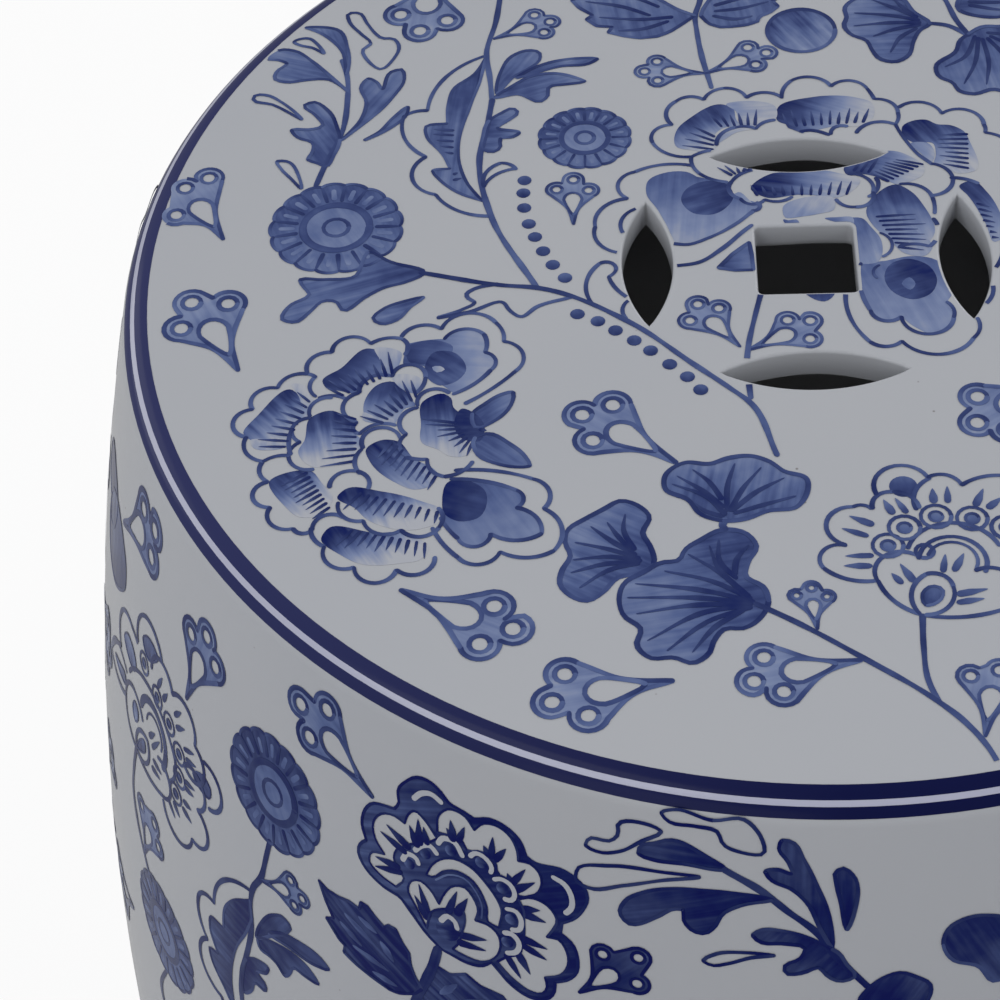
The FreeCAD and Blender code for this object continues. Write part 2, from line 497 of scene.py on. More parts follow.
# Foot ring
# The wall turns in to a flat ring that the stool stands on. Its land is wiped clean of glaze
# before firing, so it shows the bare, slightly gritty clay, and glaze covers its outside.
FOOT_HOLE_RADIUS = 100.0
FOOT_LAND_START = 109.0
FOOT_LAND_END = 136.41
FOOT_BOTTOM = 3.0
FOOT_STEP = 6.0
FOOT_EDGE_RADIUS = 5.0
FOOT_EDGE_STEPS = 8
FOOT_FLANK = 11.0
STEP_SLOPE = 2.8
HOLE_BACK = 0.2
HOLE_CHAMFER = 1.0
edge_height = FOOT_BOTTOM + FOOT_EDGE_RADIUS
foot_lean = math.degrees(math.atan2(edge_height - WAIST_HEIGHT, FOOT_LAND_END - ARC_CENTRE))
edge_radius = FOOT_EDGE_RADIUS - GLAZE_BACK
foot_section = [
    (FOOT_HOLE_RADIUS + HOLE_CHAMFER, WALL_BOTTOM),
    (barrel_radius(WALL_BOTTOM), WALL_BOTTOM),
    (barrel_radius(FOOT_FLANK), FOOT_FLANK),
    *round_points((FOOT_LAND_END, edge_height), edge_radius, foot_lean, -90, FOOT_EDGE_STEPS),
    (FOOT_LAND_START, FOOT_BOTTOM + GLAZE_BACK),
    (FOOT_LAND_START - STEP_SLOPE, FOOT_STEP),
    (FOOT_HOLE_RADIUS + HOLE_CHAMFER, FOOT_STEP),
    (FOOT_HOLE_RADIUS + HOLE_BACK, FOOT_STEP + HOLE_CHAMFER),
    (FOOT_HOLE_RADIUS + HOLE_BACK, WALL_BOTTOM - HOLE_CHAMFER),
]
foot = turned("foot_ring_glazed", foot_section)
smooth(foot, degrees=30)

# Bare stoneware: fired clay with no glaze, sanded flat. The eye sees a dull warm cream with
# darker grit and shallow pits.
bare_clay, tree, shader = new_material("bare_fired_stoneware")
place = add_node(tree, "ShaderNodeTexCoord").outputs["Object"]
grit = add_node(tree, "ShaderNodeTexNoise", {"Scale": 1 / (2.2 * MM), "Detail": 4.0}, {"Vector": place})
coarse = {"From Min": 0.52, "From Max": 0.72}
sorted_grit = add_node(tree, "ShaderNodeMapRange", coarse, {"Value": grit.outputs["Fac"]})
tree.links.new(blend(tree, sorted_grit.outputs["Result"], "#A89E8C", "#7E7464"), shader.inputs["Base Color"])
shallow = {"Strength": 0.5, "Distance": 0.2 * MM}
pits = add_node(tree, "ShaderNodeBump", shallow, {"Height": grit.outputs["Fac"]})
tree.links.new(pits.outputs["Normal"], shader.inputs["Normal"])
shader.inputs["Roughness"].default_value = 0.85
foot.data.materials.append(white_glaze)
foot.data.materials.append(bare_clay)
for face in foot.data.polygons:
    middle = face.center / MM
    if middle.z < FOOT_BOTTOM + 0.5 or middle.xy.length < FOOT_LAND_START:
        face.material_index = 1
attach(foot, "root")
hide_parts("foot_ring")


# Luting coils
# Coils of the same clay, pressed by hand into the inside corners to hold seat, wall and foot
# together. They are inside the stool and stay unglazed.
for name in ("seat_luting_coil", "foot_luting_coil"):
    coil = frame["nodes"][name]
    coil.data.materials.clear()
    coil.data.materials.append(bare_clay)


# Rubber bumpers
# Soft clear-grey stick-on bumpers, moulded, under the foot so that it doesn't scratch a floor.
# They are smooth and a little cloudy, with a dull sheen.
bumper_rubber, tree, shader = new_material("moulded_grey_rubber")
place = add_node(tree, "ShaderNodeTexCoord").outputs["Object"]
haze = add_node(tree, "ShaderNodeTexNoise", {"Scale": 1 / (4 * MM), "Detail": 3.0}, {"Vector": place})
tree.links.new(blend(tree, haze.outputs["Fac"], "#4A4B4D", "#5A5B5E"), shader.inputs["Base Color"])
shader.inputs["Roughness"].default_value = 0.55
for name, node in frame["nodes"].items():
    if name.startswith("foot_pad_"):
        node.data.materials.clear()
        node.data.materials.append(bumper_rubber)


# Painted decoration
# Cobalt brushed on under the glaze, in the common blue-and-white way: outlines with a fine brush,
# washes inside them, and darker touches on top. It is modelled as thin closed films on the glaze.
PAINT_FILM = 0.03
LAYER_LIFT = {"washes": 0.045, "touches": 0.075, "lines": 0.105}
LIFT_STEP = 0.0008
LIFT_LEVELS = 36
LINE_RISE = 0.0007
LINE_WIDTH = 0.85
LINE_STEP = 1.2
LINE_STEP_AT_CUTS = 0.5
CURVE_STEP = 0.8
CUTS_REACH = 60
SHARP_TURN = 0.9
BLUNT_END = 0.3
SHORTEST_LINE = 0.3
PRESS_SWINGS = ((0.09, 0.33), (0.05, 0.9))
DOT_RADIUS = 1.5
WALL_GRID = 4.0
WALL_REACH = 154.7
SEAT_PICTURE = 290
WALL_PICTURE = 300
chance = random.Random(11)
ground = {}


def use_ground(surface, panel=0, shade=0.0):
    """Start a drawing on the seat or on a panel of the wall, in layers of its own. All its tones
    are shifted by painted light and shade: lighter on the seat, darker on the wall.
    """
    layers = {}
    for layer in LAYER_LIFT:
        layers[layer] = {"points": [], "faces": [], "flow": [], "tones": [], "map": [], "count": 0}
    ground.update(layers=layers, surface=surface, panel=panel, shade=shade, in_degrees=surface == "wall")
    ground.update(to=(0, 0), pivot=(0, 0), cos=1.0, sin=0.0, flip=1)


def pairs(numbers):
    """Points from numbers in turn, in mm. A panel of the wall is given in degrees to the left of its
    right edge and mm down from the seat."""
    points = list(zip(numbers[::2], numbers[1::2]))
    if ground["in_degrees"]:
        points = [(math.radians(45 - x) * WALL_REACH, -y) for x, y in points]
    return points


def between(one, two, share):
    """The point at a share of the way from one point to another."""
    return one[0] + (two[0] - one[0]) * share, one[1] + (two[1] - one[1]) * share


def moved(x, y):
    """A drawing point moved, turned and sized on its surface, still flat."""
    x, y = (x - ground["pivot"][0]) * ground["flip"], y - ground["pivot"][1]
    cos, sin = ground["cos"], ground["sin"]
    return cos * x - sin * y + ground["to"][0], sin * x + cos * y + ground["to"][1]


def drawn(x, y):
    """The drawing point that comes to lie on a place of the surface."""
    x, y = x - ground["to"][0], y - ground["to"][1]
    cos, sin = ground["cos"], ground["sin"]
    scale = cos**2 + sin**2
    across = (cos * x + sin * y) / scale * ground["flip"]
    return across + ground["pivot"][0], (cos * y - sin * x) / scale + ground["pivot"][1]


def laid(x, y, lift):
    """A drawing point laid on the seat or the wall, with its place on the unrolled picture."""
    x, y = moved(x, y)
    if ground["surface"] == "seat":
        return (x, y, HEIGHT + lift), (0.5 + x / SEAT_PICTURE, 0.5 + y / SEAT_PICTURE)
    angle = math.radians(ground["panel"]) + x / WALL_REACH
    height = HEIGHT + y
    radius = barrel_radius(height) + lift
    spot = (0.5 + x / WALL_PICTURE, height / HEIGHT)
    return (radius * math.cos(angle), radius * math.sin(angle), height), spot


def film(layer, spots, faces, flow, tones, rise=0.0):
    """Add a thin closed film over flat faces to a layer of the drawing. It may rise a hair from its
    first spot to its last, so that a line that crosses itself lies on top of itself."""
    if not faces:
        return
    store = ground["layers"][layer]
    base = len(store["points"])
    count = len(spots)
    lift = LAYER_LIFT[layer] + (store["count"] % LIFT_LEVELS) * LIFT_STEP
    store["count"] += 1
    for height in (lift, lift - PAINT_FILM):
        for i, (x, y) in enumerate(spots):
            place, spot = laid(x, y, height + rise * i / count)
            store["points"].append(place)
            store["map"].append(spot)
        store["flow"] += flow
        # Every tone is shifted here by the ground's painted light and shade.
        store["tones"] += [(tones[0] + ground["shade"], tones[1] + ground["shade"], tones[2])] * count
    sides = {}
    for face in faces:
        face = face[:: ground["flip"]]
        store["faces"].append(tuple(base + i for i in face))
        store["faces"].append(tuple(base + count + i for i in face[::-1]))
        sides.update(dict.fromkeys(zip(face, face[1:] + face[:1])))
    for a, b in sides:
        if (b, a) not in sides:
            store["faces"].append((base + b, base + a, base + count + a, base + count + b))


def smooth_line(points, closed=False, step=CURVE_STEP):
    """Smooth line through a few points."""
    before, after = (points[-1:], points[:2]) if closed else (points[:1], points[-1:])
    points = before + points + after
    line = []
    for before, start, end, after in zip(points, points[1:], points[2:], points[3:]):
        reach = math.dist(start, end)
        if reach < 1e-6:
            continue
        slopes = []
        for one, two, three in ((before, start, end), (start, end, after)):
            first, second = math.dist(one, two), math.dist(two, three)
            if first < 1e-6 or second < 1e-6:
                slopes.append([(end[k] - start[k]) / reach for k in (0, 1)])
                continue
            slopes.append([
                ((two[k] - one[k]) / first * second + (three[k] - two[k]) / second * first)
                / (first + second)
                for k in (0, 1)
            ])
        steps = max(2, round(reach / step))
        for i in range(steps):
            t = i / steps
            weights = (2 * t**3 - 3 * t**2 + 1, t**3 - 2 * t**2 + t, -2 * t**3 + 3 * t**2, t**3 - t**2)
            line.append(tuple(
                weights[0] * start[k]
                + weights[1] * slopes[0][k] * reach
                + weights[2] * end[k]
                + weights[3] * slopes[1][k] * reach
                for k in (0, 1)
            ))
    return line if closed else line + points[-2:-1]


def curve(*numbers, closed=False):
    """Smooth line through points given as numbers."""
    return smooth_line(pairs(numbers), closed)


def arc_through(start, top, end, step=CURVE_STEP):
    """Round line from start to end by way of top."""
    ax, ay = top[0] - start[0], top[1] - start[1]
    bx, by = end[0] - start[0], end[1] - start[1]
    cross = ax * by - ay * bx
    if abs(cross) < 0.05:
        return [start, top, end]
    a2, b2 = ax * ax + ay * ay, bx * bx + by * by
    ux, uy = (by * a2 - ay * b2) / (2 * cross), (ax * b2 - bx * a2) / (2 * cross)
    centre = (start[0] + ux, start[1] + uy)
    radius = math.hypot(ux, uy)
    first = math.atan2(start[1] - centre[1], start[0] - centre[0])
    sweep = math.atan2(end[1] - centre[1], end[0] - centre[0]) - first
    sweep = sweep % math.tau if cross > 0 else -((-sweep) % math.tau)
    steps = max(3, round(abs(sweep) * radius / step))
    angles = [first + sweep * i / steps for i in range(steps + 1)]
    return [(centre[0] + radius * math.cos(a), centre[1] + radius * math.sin(a)) for a in angles]


def lobes(*numbers):
    """Round lobes in a row, one line for each: a joint, how far the lobe swells to its left in mm,
    the next joint and so on."""
    joints = pairs([number for i, number in enumerate(numbers) if i % 3 < 2])
    runs = []
    for start, end, swell in zip(joints, joints[1:], numbers[2::3]):
        share = swell / math.dist(start, end)
        x = (start[0] + end[0]) / 2 - (end[1] - start[1]) * share
        y = (start[1] + end[1]) / 2 + (end[0] - start[0]) * share
        runs.append(arc_through(start, (x, y), end))
    return runs


def joined(runs):
    """One line from lines that follow each other."""
    line = list(runs[0])
    for run in runs[1:]:
        line += run[1:]
    return line


def in_cut(x, y):
    """Whether a drawing point comes over one of the seat's cuts or off its flat top."""
    if ground["surface"] != "seat":
        return False
    x, y = moved(x, y)
    reach = math.hypot(x, y)
    if reach > SEAT_FLAT_RADIUS:
        return True
    return reach < CUTS_REACH and any(inside((x, y), rim) for rim in rims[HEIGHT])


def stroke(line, width=LINE_WIDTH, start=1.0, end=1.0, tones=(0.12, 0.3, 0.2), layer="lines"):
    """A brush line with round ends. Start and end are the share of the width that it begins and
    leaves off with, and the tones are those of its two ends, with how much they wander."""
    line = [point for i, point in enumerate(line) if i == 0 or math.dist(point, line[i - 1]) > 0.02]
    for i in range(1, len(line) - 1):
        first = math.atan2(line[i][1] - line[i - 1][1], line[i][0] - line[i - 1][0])
        second = math.atan2(line[i + 1][1] - line[i][1], line[i + 1][0] - line[i][0])
        if abs(math.remainder(second - first, math.tau)) > SHARP_TURN:
            stroke(line[: i + 1], width, start, 1.0, tones, layer)
            stroke(line[i:], width, 1.0, end, tones, layer)
            return
    if len(line) < 2:
        return
    for index, beside, share in ((0, 1, start), (-1, -2, end)):
        reach = math.dist(line[index], line[beside]) or 1.0
        out = BLUNT_END * width / reach if share > 0.9 else 0.0
        line[index] = between(line[index], line[beside], -out)
    reaches = [0.0]
    for one, two in zip(line, line[1:]):
        reaches.append(reaches[-1] + math.dist(one, two))
    total = reaches[-1]
    if total < SHORTEST_LINE:
        return
    nearest = min(math.hypot(*moved(*point)) for point in line)
    near_cut = ground["surface"] == "seat" and nearest < CUTS_REACH
    step = min(LINE_STEP_AT_CUTS if near_cut else LINE_STEP, max(total / 14, SHORTEST_LINE))
    count = max(1, round((total - width) / step)) if total > width * 1.5 else 1
    stops = [0.0, 0.14 * width]
    stops += [0.45 * width + (total - 0.9 * width) * i / count for i in range(count + 1)]
    stops += [total - 0.14 * width, total]
    if total < width:
        stops = [0.0, total / 2, total]
    middle = []
    at = 0
    for stop in stops:
        while at < len(reaches) - 2 and reaches[at + 1] < stop:
            at += 1
        share = (stop - reaches[at]) / max(reaches[at + 1] - reaches[at], 1e-9)
        middle.append(between(line[at], line[at + 1], share))
    phase = chance.random() * 6
    seed = chance.random() * 50
    spots = []
    flow = []
    for i, (x, y) in enumerate(middle):
        one, two = middle[max(i - 1, 0)], middle[min(i + 1, len(middle) - 1)]
        length = math.dist(one, two) or 1.0
        side = (-(two[1] - one[1]) / length, (two[0] - one[0]) / length)
        along = stops[i] / total
        from_end = min(stops[i], total - stops[i]) / (0.5 * width)
        round_end = math.sqrt(max(0.03, 1 - (1 - min(from_end, 1)) ** 2))
        taper = start + (1 - start) * min(along / 0.55, 1)
        if along > 0.45:
            taper = min(taper, end + (1 - end) * min((1 - along) / 0.55, 1))
        press = 1 + sum(size * math.sin(stops[i] * pace + phase) for size, pace in PRESS_SWINGS)
        half = width / 2 * round_end * taper * press
        spots += [(x + side[0] * half, y + side[1] * half), (x - side[0] * half, y - side[1] * half)]
        flow += [(along, half, seed), (along, -half, seed)]
    faces = []
    for i in range(len(middle) - 1):
        if not (in_cut(*middle[i]) or in_cut(*middle[i + 1])):
            faces.append((2 * i + 1, 2 * i + 3, 2 * i + 2, 2 * i))
    film(layer, spots, faces, flow, tones, rise=LINE_RISE)


def lines(*runs, **how):
    """Brush lines through the points of each run."""
    for numbers in runs:
        stroke(curve(*numbers), **how)


def outline(line, **how):
    """A brush line round a closed shape."""
    stroke(line + line[:1], **how)


def scallops(*numbers, width=0.9):
    """Brush lines round a row of lobes."""
    for line in lobes(*numbers):
        stroke(line, width=width)


def reach_of(points):
    """How far points reach: to the left and right, and down and up."""
    across, up = zip(*points)
    return min(across), max(across), min(up), max(up)


def wash(line, toward=90, dark=0.2, pale=0.6, streak=0.5, layer="washes", holes=()):
    """A filled patch of thinned cobalt. It pales towards a direction, and brush streaks lie along
    it at the pale side."""
    rings = [line, *holes]
    spare = []
    left, right, low, high = reach_of(line)
    if ground["surface"] == "seat":
        for rim in rims[HEIGHT]:
            cut = [drawn(*point) for point in rim]
            cut_left, cut_right, cut_low, cut_high = reach_of(cut)
            if cut_left <= right and cut_right >= left and cut_low <= high and cut_high >= low:
                rings.append(cut)
    else:
        columns, rows = [math.ceil(reach / WALL_GRID - 0.4) for reach in (right - left, high - low)]
        for i in range(columns):
            for j in range(rows):
                spare.append((left + (i + 0.4) * WALL_GRID, low + (j + 0.4) * WALL_GRID))
    spots, faces = fill_outline(rings, spare)
    cos, sin = math.cos(math.radians(toward)), math.sin(math.radians(toward))
    reach = [x * cos + y * sin for x, y in line]
    low, high = min(reach), max(reach)
    seed = chance.random() * 50
    flow = [((x * cos + y * sin - low) / (high - low), x * sin - y * cos, seed) for x, y in spots]
    film(layer, spots, faces, flow, (dark, pale, streak))


def patch(toward, dark, pale, streak, *numbers, layer="washes"):
    """A wash with a rounded edge through a few points."""
    wash(curve(*numbers, closed=True), toward, dark, pale, streak, layer)


def touch(*numbers):
    """A small darker or paler patch on top of the washes."""
    patch(*numbers, layer="touches")


def shape(line, width=LINE_WIDTH, **how):
    """A washed patch with a line round it."""
    wash(line, **how)
    outline(line, width=width)


def ring_line(x, y, radius, count=0):
    """Points of a small circle in the drawing."""
    count = count or max(18, round(radius * 8))
    angles = [math.tau * i / count for i in range(count)]
    return [(x + radius * math.cos(angle), y + radius * math.sin(angle)) for angle in angles]


def dot_row(*numbers):
    """Round dots of cobalt along a stem."""
    for x, y in pairs(numbers):
        wash(ring_line(x, y, DOT_RADIUS, 14), dark=0.12, pale=0.27, streak=0.2, layer="touches")


def trefoil(*numbers):
    """A dart from its tip to three ringed dots at its blunt end, with a bare drop in its middle."""
    tip, *dots = pairs(numbers)
    x, y = [sum(dot[k] for dot in dots) / 3 - tip[k] for k in (0, 1)]
    size = math.hypot(x, y) / 18
    x, y = x / size / 18, y / size / 18
    dots.sort(key=lambda dot: (dot[1] - tip[1]) * x - (dot[0] - tip[0]) * y)
    body = [0.3 * tip[k] + 0.35 * (dots[0][k] + dots[2][k]) for k in (0, 1)]
    edge = []
    for dot, first, last in zip(dots, (-105, -80, -75), (75, 80, 105)):
        out = math.atan2(dot[1] - body[1], dot[0] - body[0])
        for i in range(13):
            angle = out + math.radians(first + (last - first) * i / 12)
            edge.append((dot[0] + 3.3 * size * math.cos(angle), dot[1] + 3.3 * size * math.sin(angle)))
    ends = (edge[-1], edge[0])
    waists = [[0.3 * end[k] + 0.38 * tip[k] + 0.32 * body[k] for k in (0, 1)] for end in ends]
    edge += smooth_line([ends[0], waists[0], tip])[1:-1] + smooth_line([tip, waists[1], ends[1]])[:-1]
    drop = []
    for i in range(24):
        cos, sin = math.cos(math.tau * i / 24), math.sin(math.tau * i / 24)
        long = (-7.1 if cos > 0 else -3.4) * size * cos + 0.2 * size
        wide = 2.9 * size * sin * (1 - 0.55 * max(cos, 0))
        drop.append((body[0] + x * long - y * wide, body[1] + y * long + x * wide))
    eyes = [ring_line(*dot, 1.8 * size, 18) for dot in dots]
    wash(edge, math.degrees(math.atan2(y, x)), 0.34, 0.6, 0.35, holes=[drop] + eyes)
    for line in [edge, drop] + eyes:
        outline(line, width=0.95 * max(size, 0.7), tones=(0.16, 0.34, 0.25))


def rosette(x, y, radius, petals, disc, ring):
    """A round flower head seen from above, with a disc and a ring in its middle."""
    x, y = pairs((x, y))[0]
    edge = []
    for i in range(petals * 8):
        angle = math.tau * i / (petals * 8)
        reach = radius * (0.955 + 0.045 * abs(math.sin(angle * petals / 2)) ** 0.6)
        edge.append((x + reach * math.cos(angle), y + reach * math.sin(angle)))
    shape(edge, 0.75, toward=-70, dark=0.22, pale=0.4, streak=0.3)
    for i in range(petals):
        angle = math.tau * i / petals
        inner, outer = radius * 0.6, radius * 0.94
        line = [(x + r * math.cos(angle), y + r * math.sin(angle)) for r in (inner, outer)]
        stroke(line, width=0.9 * radius / 14, start=1.0, end=0.6, tones=(0.1, 0.2, 0.1))
        middle = angle + math.pi / petals
        line = [(x + r * math.cos(middle), y + r * math.sin(middle)) for r in (inner * 1.08, outer * 0.9)]
        stroke(line, width=1.1 * radius / 14, tones=(0.38, 0.48, 0.2), layer="touches")
    wash(ring_line(x, y, disc), toward=-60, dark=0.42, pale=0.5, streak=0.2, layer="touches")
    outline(ring_line(x, y, disc + 0.5), width=0.12 * radius, tones=(0.15, 0.2, 0.2))
    outline(ring_line(x, y, ring), width=0.9, tones=(0.15, 0.25, 0.2))


def leaf(*numbers, width=0.8, toward=90, dark=0.22, pale=0.42, streak=0.4):
    """A solid leaf or blade with a darker line round it."""
    shape(curve(*numbers, closed=True), width, toward=toward, dark=dark, pale=pale, streak=streak)


def vein(*numbers, width=0.9, tones=(0.1, 0.2, 0.2)):
    """A dark line that tapers off along a leaf."""
    stroke(curve(*numbers), width=width, start=0.9, end=0.3, tones=tones)


def comb(count, *numbers, width=0.75, tones=(0.04, 0.24, 0.2)):
    """A row of fine brush strokes that taper off, from its first stroke to its last."""
    one, two, three, four = pairs(numbers)
    for i in range(count):
        share = i / (count - 1)
        start = between(one, three, share)
        end = between(start, between(two, four, share), chance.uniform(0.8, 1.15))
        stroke([start, end], width=width, start=0.9, end=0.2, tones=tones)


def dash_pairs(dark, *runs):
    """Pairs of short dashes, as the lotus flowers have them in their petals."""
    for numbers in runs:
        comb(2, *numbers, width=1.5, tones=(dark, dark + 0.15, 0.2))


def closed_lines(*runs):
    """Leaves in plain outline."""
    for numbers in runs:
        outline(curve(*numbers, closed=True), width=0.8)


def large_peony():
    """The half-open peony at the left of the seat: white-edged petals round two heart-shaped ones."""
    for numbers in (
        (-50, 0.15, 0.85, 0.54, -112.3, -46.2, -110, -42, -103.3, -34.8, -101.8, -36.5, -99.8, -42, -102,
         -44.5, -103, -47, -103.3, -49.8),
        (-80, 0.08, 0.9, 0.48, -99.2, -42.5, -95, -40.8, -93.2, -41.8, -90.4, -44, -90.7, -46.5, -89, -49,
         -90.2, -55, -94, -55.8, -98, -56, -101.2, -51.5, -100.2, -49),
        (-30, 0.05, 0.45, 0.18, -97.5, -32.5, -94, -29, -88.5, -23.5, -87, -24, -86.3, -26, -85, -30, -84.2,
         -31.7, -87, -31.5, -89.3, -33, -90, -36, -94, -35.3, -96.5, -34.5),
        (-100, 0.1, 0.65, 0.3, -85.5, -33.3, -84, -33, -80, -37.5, -78.8, -40, -80.5, -40.5, -83, -44.8,
         -86, -44, -88, -43),
        (-50, 0.0, 0.7, 0.54, -88, -51.5, -84.5, -49, -82, -49.5, -78.8, -54, -74, -58.5, -75, -61.5, -78,
         -62.5, -82, -60.5, -87, -55),
        (-85, 0.0, 0.85, 0.54, -77.3, -38.8, -73.2, -36.8, -71.8, -38, -71.3, -40.5, -69, -43.3, -68.3, -45,
         -66.5, -48, -69, -54, -71.8, -53.8, -74, -52, -77, -50.3, -77.5, -45),
        (-50, 0.1, 1.0, 0.54, -106.3, -59.5, -98, -57.3, -96.3, -60, -93.8, -64.5, -97, -69, -100, -69,
         -103, -66),
        (-70, 0.0, 1.0, 0.54, -93, -64, -91.5, -62, -84.5, -62.8, -77, -65.5, -73, -68, -73.2, -71, -76,
         -72.5, -87, -70, -89.5, -67),
        (-60, 0.0, 1.0, 0.54, -95.5, -74.5, -94.5, -72.3, -85, -73.5, -80.5, -73.5, -75, -78, -76.5, -80.5,
         -80, -81.3, -88, -81.2, -91.5, -79),
        (90, 0.68, 0.85, 0.4, -103.5, -33, -101, -33.5, -99.8, -36, -99, -38.5, -100.5, -40, -102, -36.5),
        (90, 0.65, 0.8, 0.4, -87.5, -23.5, -82, -25, -82.3, -28, -83.5, -30.8, -85, -31, -86.2, -27),
        (90, 0.6, 0.85, 0.4, -83.4, -31.3, -81, -31, -78, -32.3, -77.2, -34.5, -79, -36.5, -80.5, -36),
        (90, 0.7, 0.85, 0.4, -110.8, -48.5, -107, -48.2, -103.5, -48.5, -103.5, -50, -107, -51.2, -110,
         -50.5),
        (90, 0.6, 0.75, 0.4, -89, -41.5, -86, -43, -82.8, -43.5, -82.8, -45, -86.5, -44.5, -89, -43.5),
    ):
        patch(*numbers)
    heart = joined(lobes(
        -81.3, -22.6, 0.4, -73.3, -21.3, 2.2, -65.6, -20.2, 0.5, -65.3, -25.4, 1.6, -64.1, -30.5, 0.8,
        -71.4, -36.7))
    heart += curve(
        -71.4, -36.7, -73.5, -34.5, -75.5, -33, -76.8, -29.5, -79, -28.2, -81.3, -28.5, -81.4, -25)[1:]
    wash(heart, -5, 0.28, 0.66, 0.2)
    for numbers in (
        (-10, 0.15, 0.3, 0.2, -81, -23.5, -74.5, -21.8, -71.8, -23.5, -73, -27, -76.5, -28.3, -80, -28),
        (-40, 0.12, 0.28, 0.3, -75, -24.8, -72, -25, -69, -30.5, -71, -33.5, -74, -34.5, -76.8, -32),
        (0, 0.6, 0.8, 0.2, -75.8, -29.3, -74.2, -29, -73.2, -30, -74.8, -30.8),
    ):
        touch(*numbers)
    scallops(-73.5, -21.3, 2.2, -65.6, -20.2, 0.5, -65.3, -25.4, 1.6, -64.1, -30.5, 0.7, -71.4, -37)
    scallops(
        -82.2, -20.4, 2.2, -74.2, -18.4, 3.7, -63.2, -17, 0.6, -61.6, -22.4, 2.8, -59.2, -31, 0.5, -69,
        -39.7)
    edge = lobes(
        -71.3, -60, 0.9, -58.5, -63.3, 1.3, -58.6, -67.8, 1.6, -53.8, -74.6, 1.7, -63.4, -74.4, 2.7, -69.6,
        -75.4, 0.3, -73, -70)
    wash(joined(edge), -60, 0.28, 0.5, 0.2)
    for line in edge:
        stroke(line, width=0.9)
    touch(
        -20, 0.0, 0.14, 0.2, -71.5, -60.5, -68, -60.5, -64.8, -63, -66, -70.3, -69.5, -71, -72.3, -69,
        -72.8, -66)
    scallops(
        -70.5, -57.7, 1, -55.5, -60.4, 2.2, -53.4, -68.2, 2.5, -51.5, -79, 1.6, -61.6, -79, 2.5, -69.5,
        -80.2, 0.5, -74.5, -72.6)
    leaf(
        -67.5, -42.5, -65, -39.8, -61.5, -37.2, -59.6, -36.8, -59.7, -39.5, -64, -45.3, -66.5, -46.5,
        toward=40)
    leaf(
        -66.8, -49, -64.5, -48, -60, -51, -57, -54.5, -56.1, -57, -58.5, -57.2, -62.5, -56.2, -66, -54,
        toward=-40)
    touch(0, 0.05, 0.15, 0.3, -69.5, -41, -66.5, -43, -65, -46.5, -66, -50, -69, -49.5, -71, -45.5)
    vein(-66.2, -46.8, -64.6, -47.2, width=1.2)
    for numbers in (
        (-98.6, -36.8, 1.2, -98.9, -31.2),
        (-98.9, -31.4, -0.2, -100.6, -30.4, -1.5, -106.3, -34.2, -2.5, -110.9, -40, -3.3, -111.6, -47.6,
         -1.9, -107.8, -54.2, 0.6, -102.9, -52.8),
        (-100.6, -30.2, 2.1, -96, -24.4, 3.2, -88.3, -22.2, 0.9, -82, -21, 0.9, -81.3, -25.5),
        (-97.9, -37.2, 0.9, -92.4, -37.8), (-99.4, -42.3, 1.9, -95.4, -37.2),
        (-99.6, -42.7, -2.5, -101, -49.2, -3.5, -98, -56.6), (-102.8, -45.8, -0.5, -102.6, -52.5),
        (-90.1, -36, -3, -90.1, -44.1), (-90.1, -44.3, -1.1, -89.3, -47.3),
        (-90, -36, 2.4, -83.6, -31.6, 3.5, -77, -32.2, 0.5, -78.9, -36.6),
        (-89.4, -47.4, 1.5, -82.5, -45.2), (-88.6, -51.2, 4.3, -81.4, -48.8),
        (-78.3, -40.5, -2.4, -80.3, -47.8, -1.6, -79.6, -53.6), (-78.3, -40, 2.8, -72.2, -36.6),
        (-80, -54, -0.2, -76, -54.6, -1.1, -72.5, -59.3, -0.9, -67.2, -55.5),
        (-88.8, -51.5, -1.2, -88.9, -58), (-94.6, -61.5, 1.8, -89.4, -57.4, 1.1, -87.1, -62),
        (-108, -54.4, -1.1, -106.6, -59.7, -3.2, -105.7, -66.4, -2.5, -101, -72, -1.1, -97.3, -72.5),
        (-97.3, -72.5, 2.3, -91.5, -69.4),
        (-92.7, -65.5, -1.9, -87.7, -70.4, -2.2, -80.4, -73, -2.1, -73.2, -72.4, -0.8, -73.5, -67.5),
        (-97.6, -72, -0.8, -94.8, -76.8, -2.6, -88.9, -82.2, -3.6, -80.9, -83, -2.8, -73.8, -80),
    ):
        scallops(*numbers)
    for numbers in (
        (9, -99.6, -38.4, -102.4, -35.4, -103.6, -50.4, -109.4, -50.2),
        (8, -90.2, -43.4, -94.4, -41.6, -89.6, -54.6, -96, -55.8),
        (9, -93, -36.8, -97.4, -33.8, -83.6, -31, -84.6, -25.4),
        (8, -78.6, -37.8, -80.2, -31.6, -84.8, -44.6, -89.4, -42.6),
        (9, -83, -49.6, -86, -54.6, -74, -58.6, -75.6, -62.4),
        (8, -70.6, -45, -77.4, -43.6, -67.4, -50.4, -68.6, -54.8),
        (9, -99, -57.4, -103.6, -60.6, -94.2, -66.6, -97.2, -69.4),
        (10, -88.4, -63, -91.4, -67, -73.6, -68.2, -74.2, -71.6),
        (10, -89.6, -72.6, -92.6, -76.6, -75.8, -76.2, -75.8, -80),
    ):
        comb(*numbers)


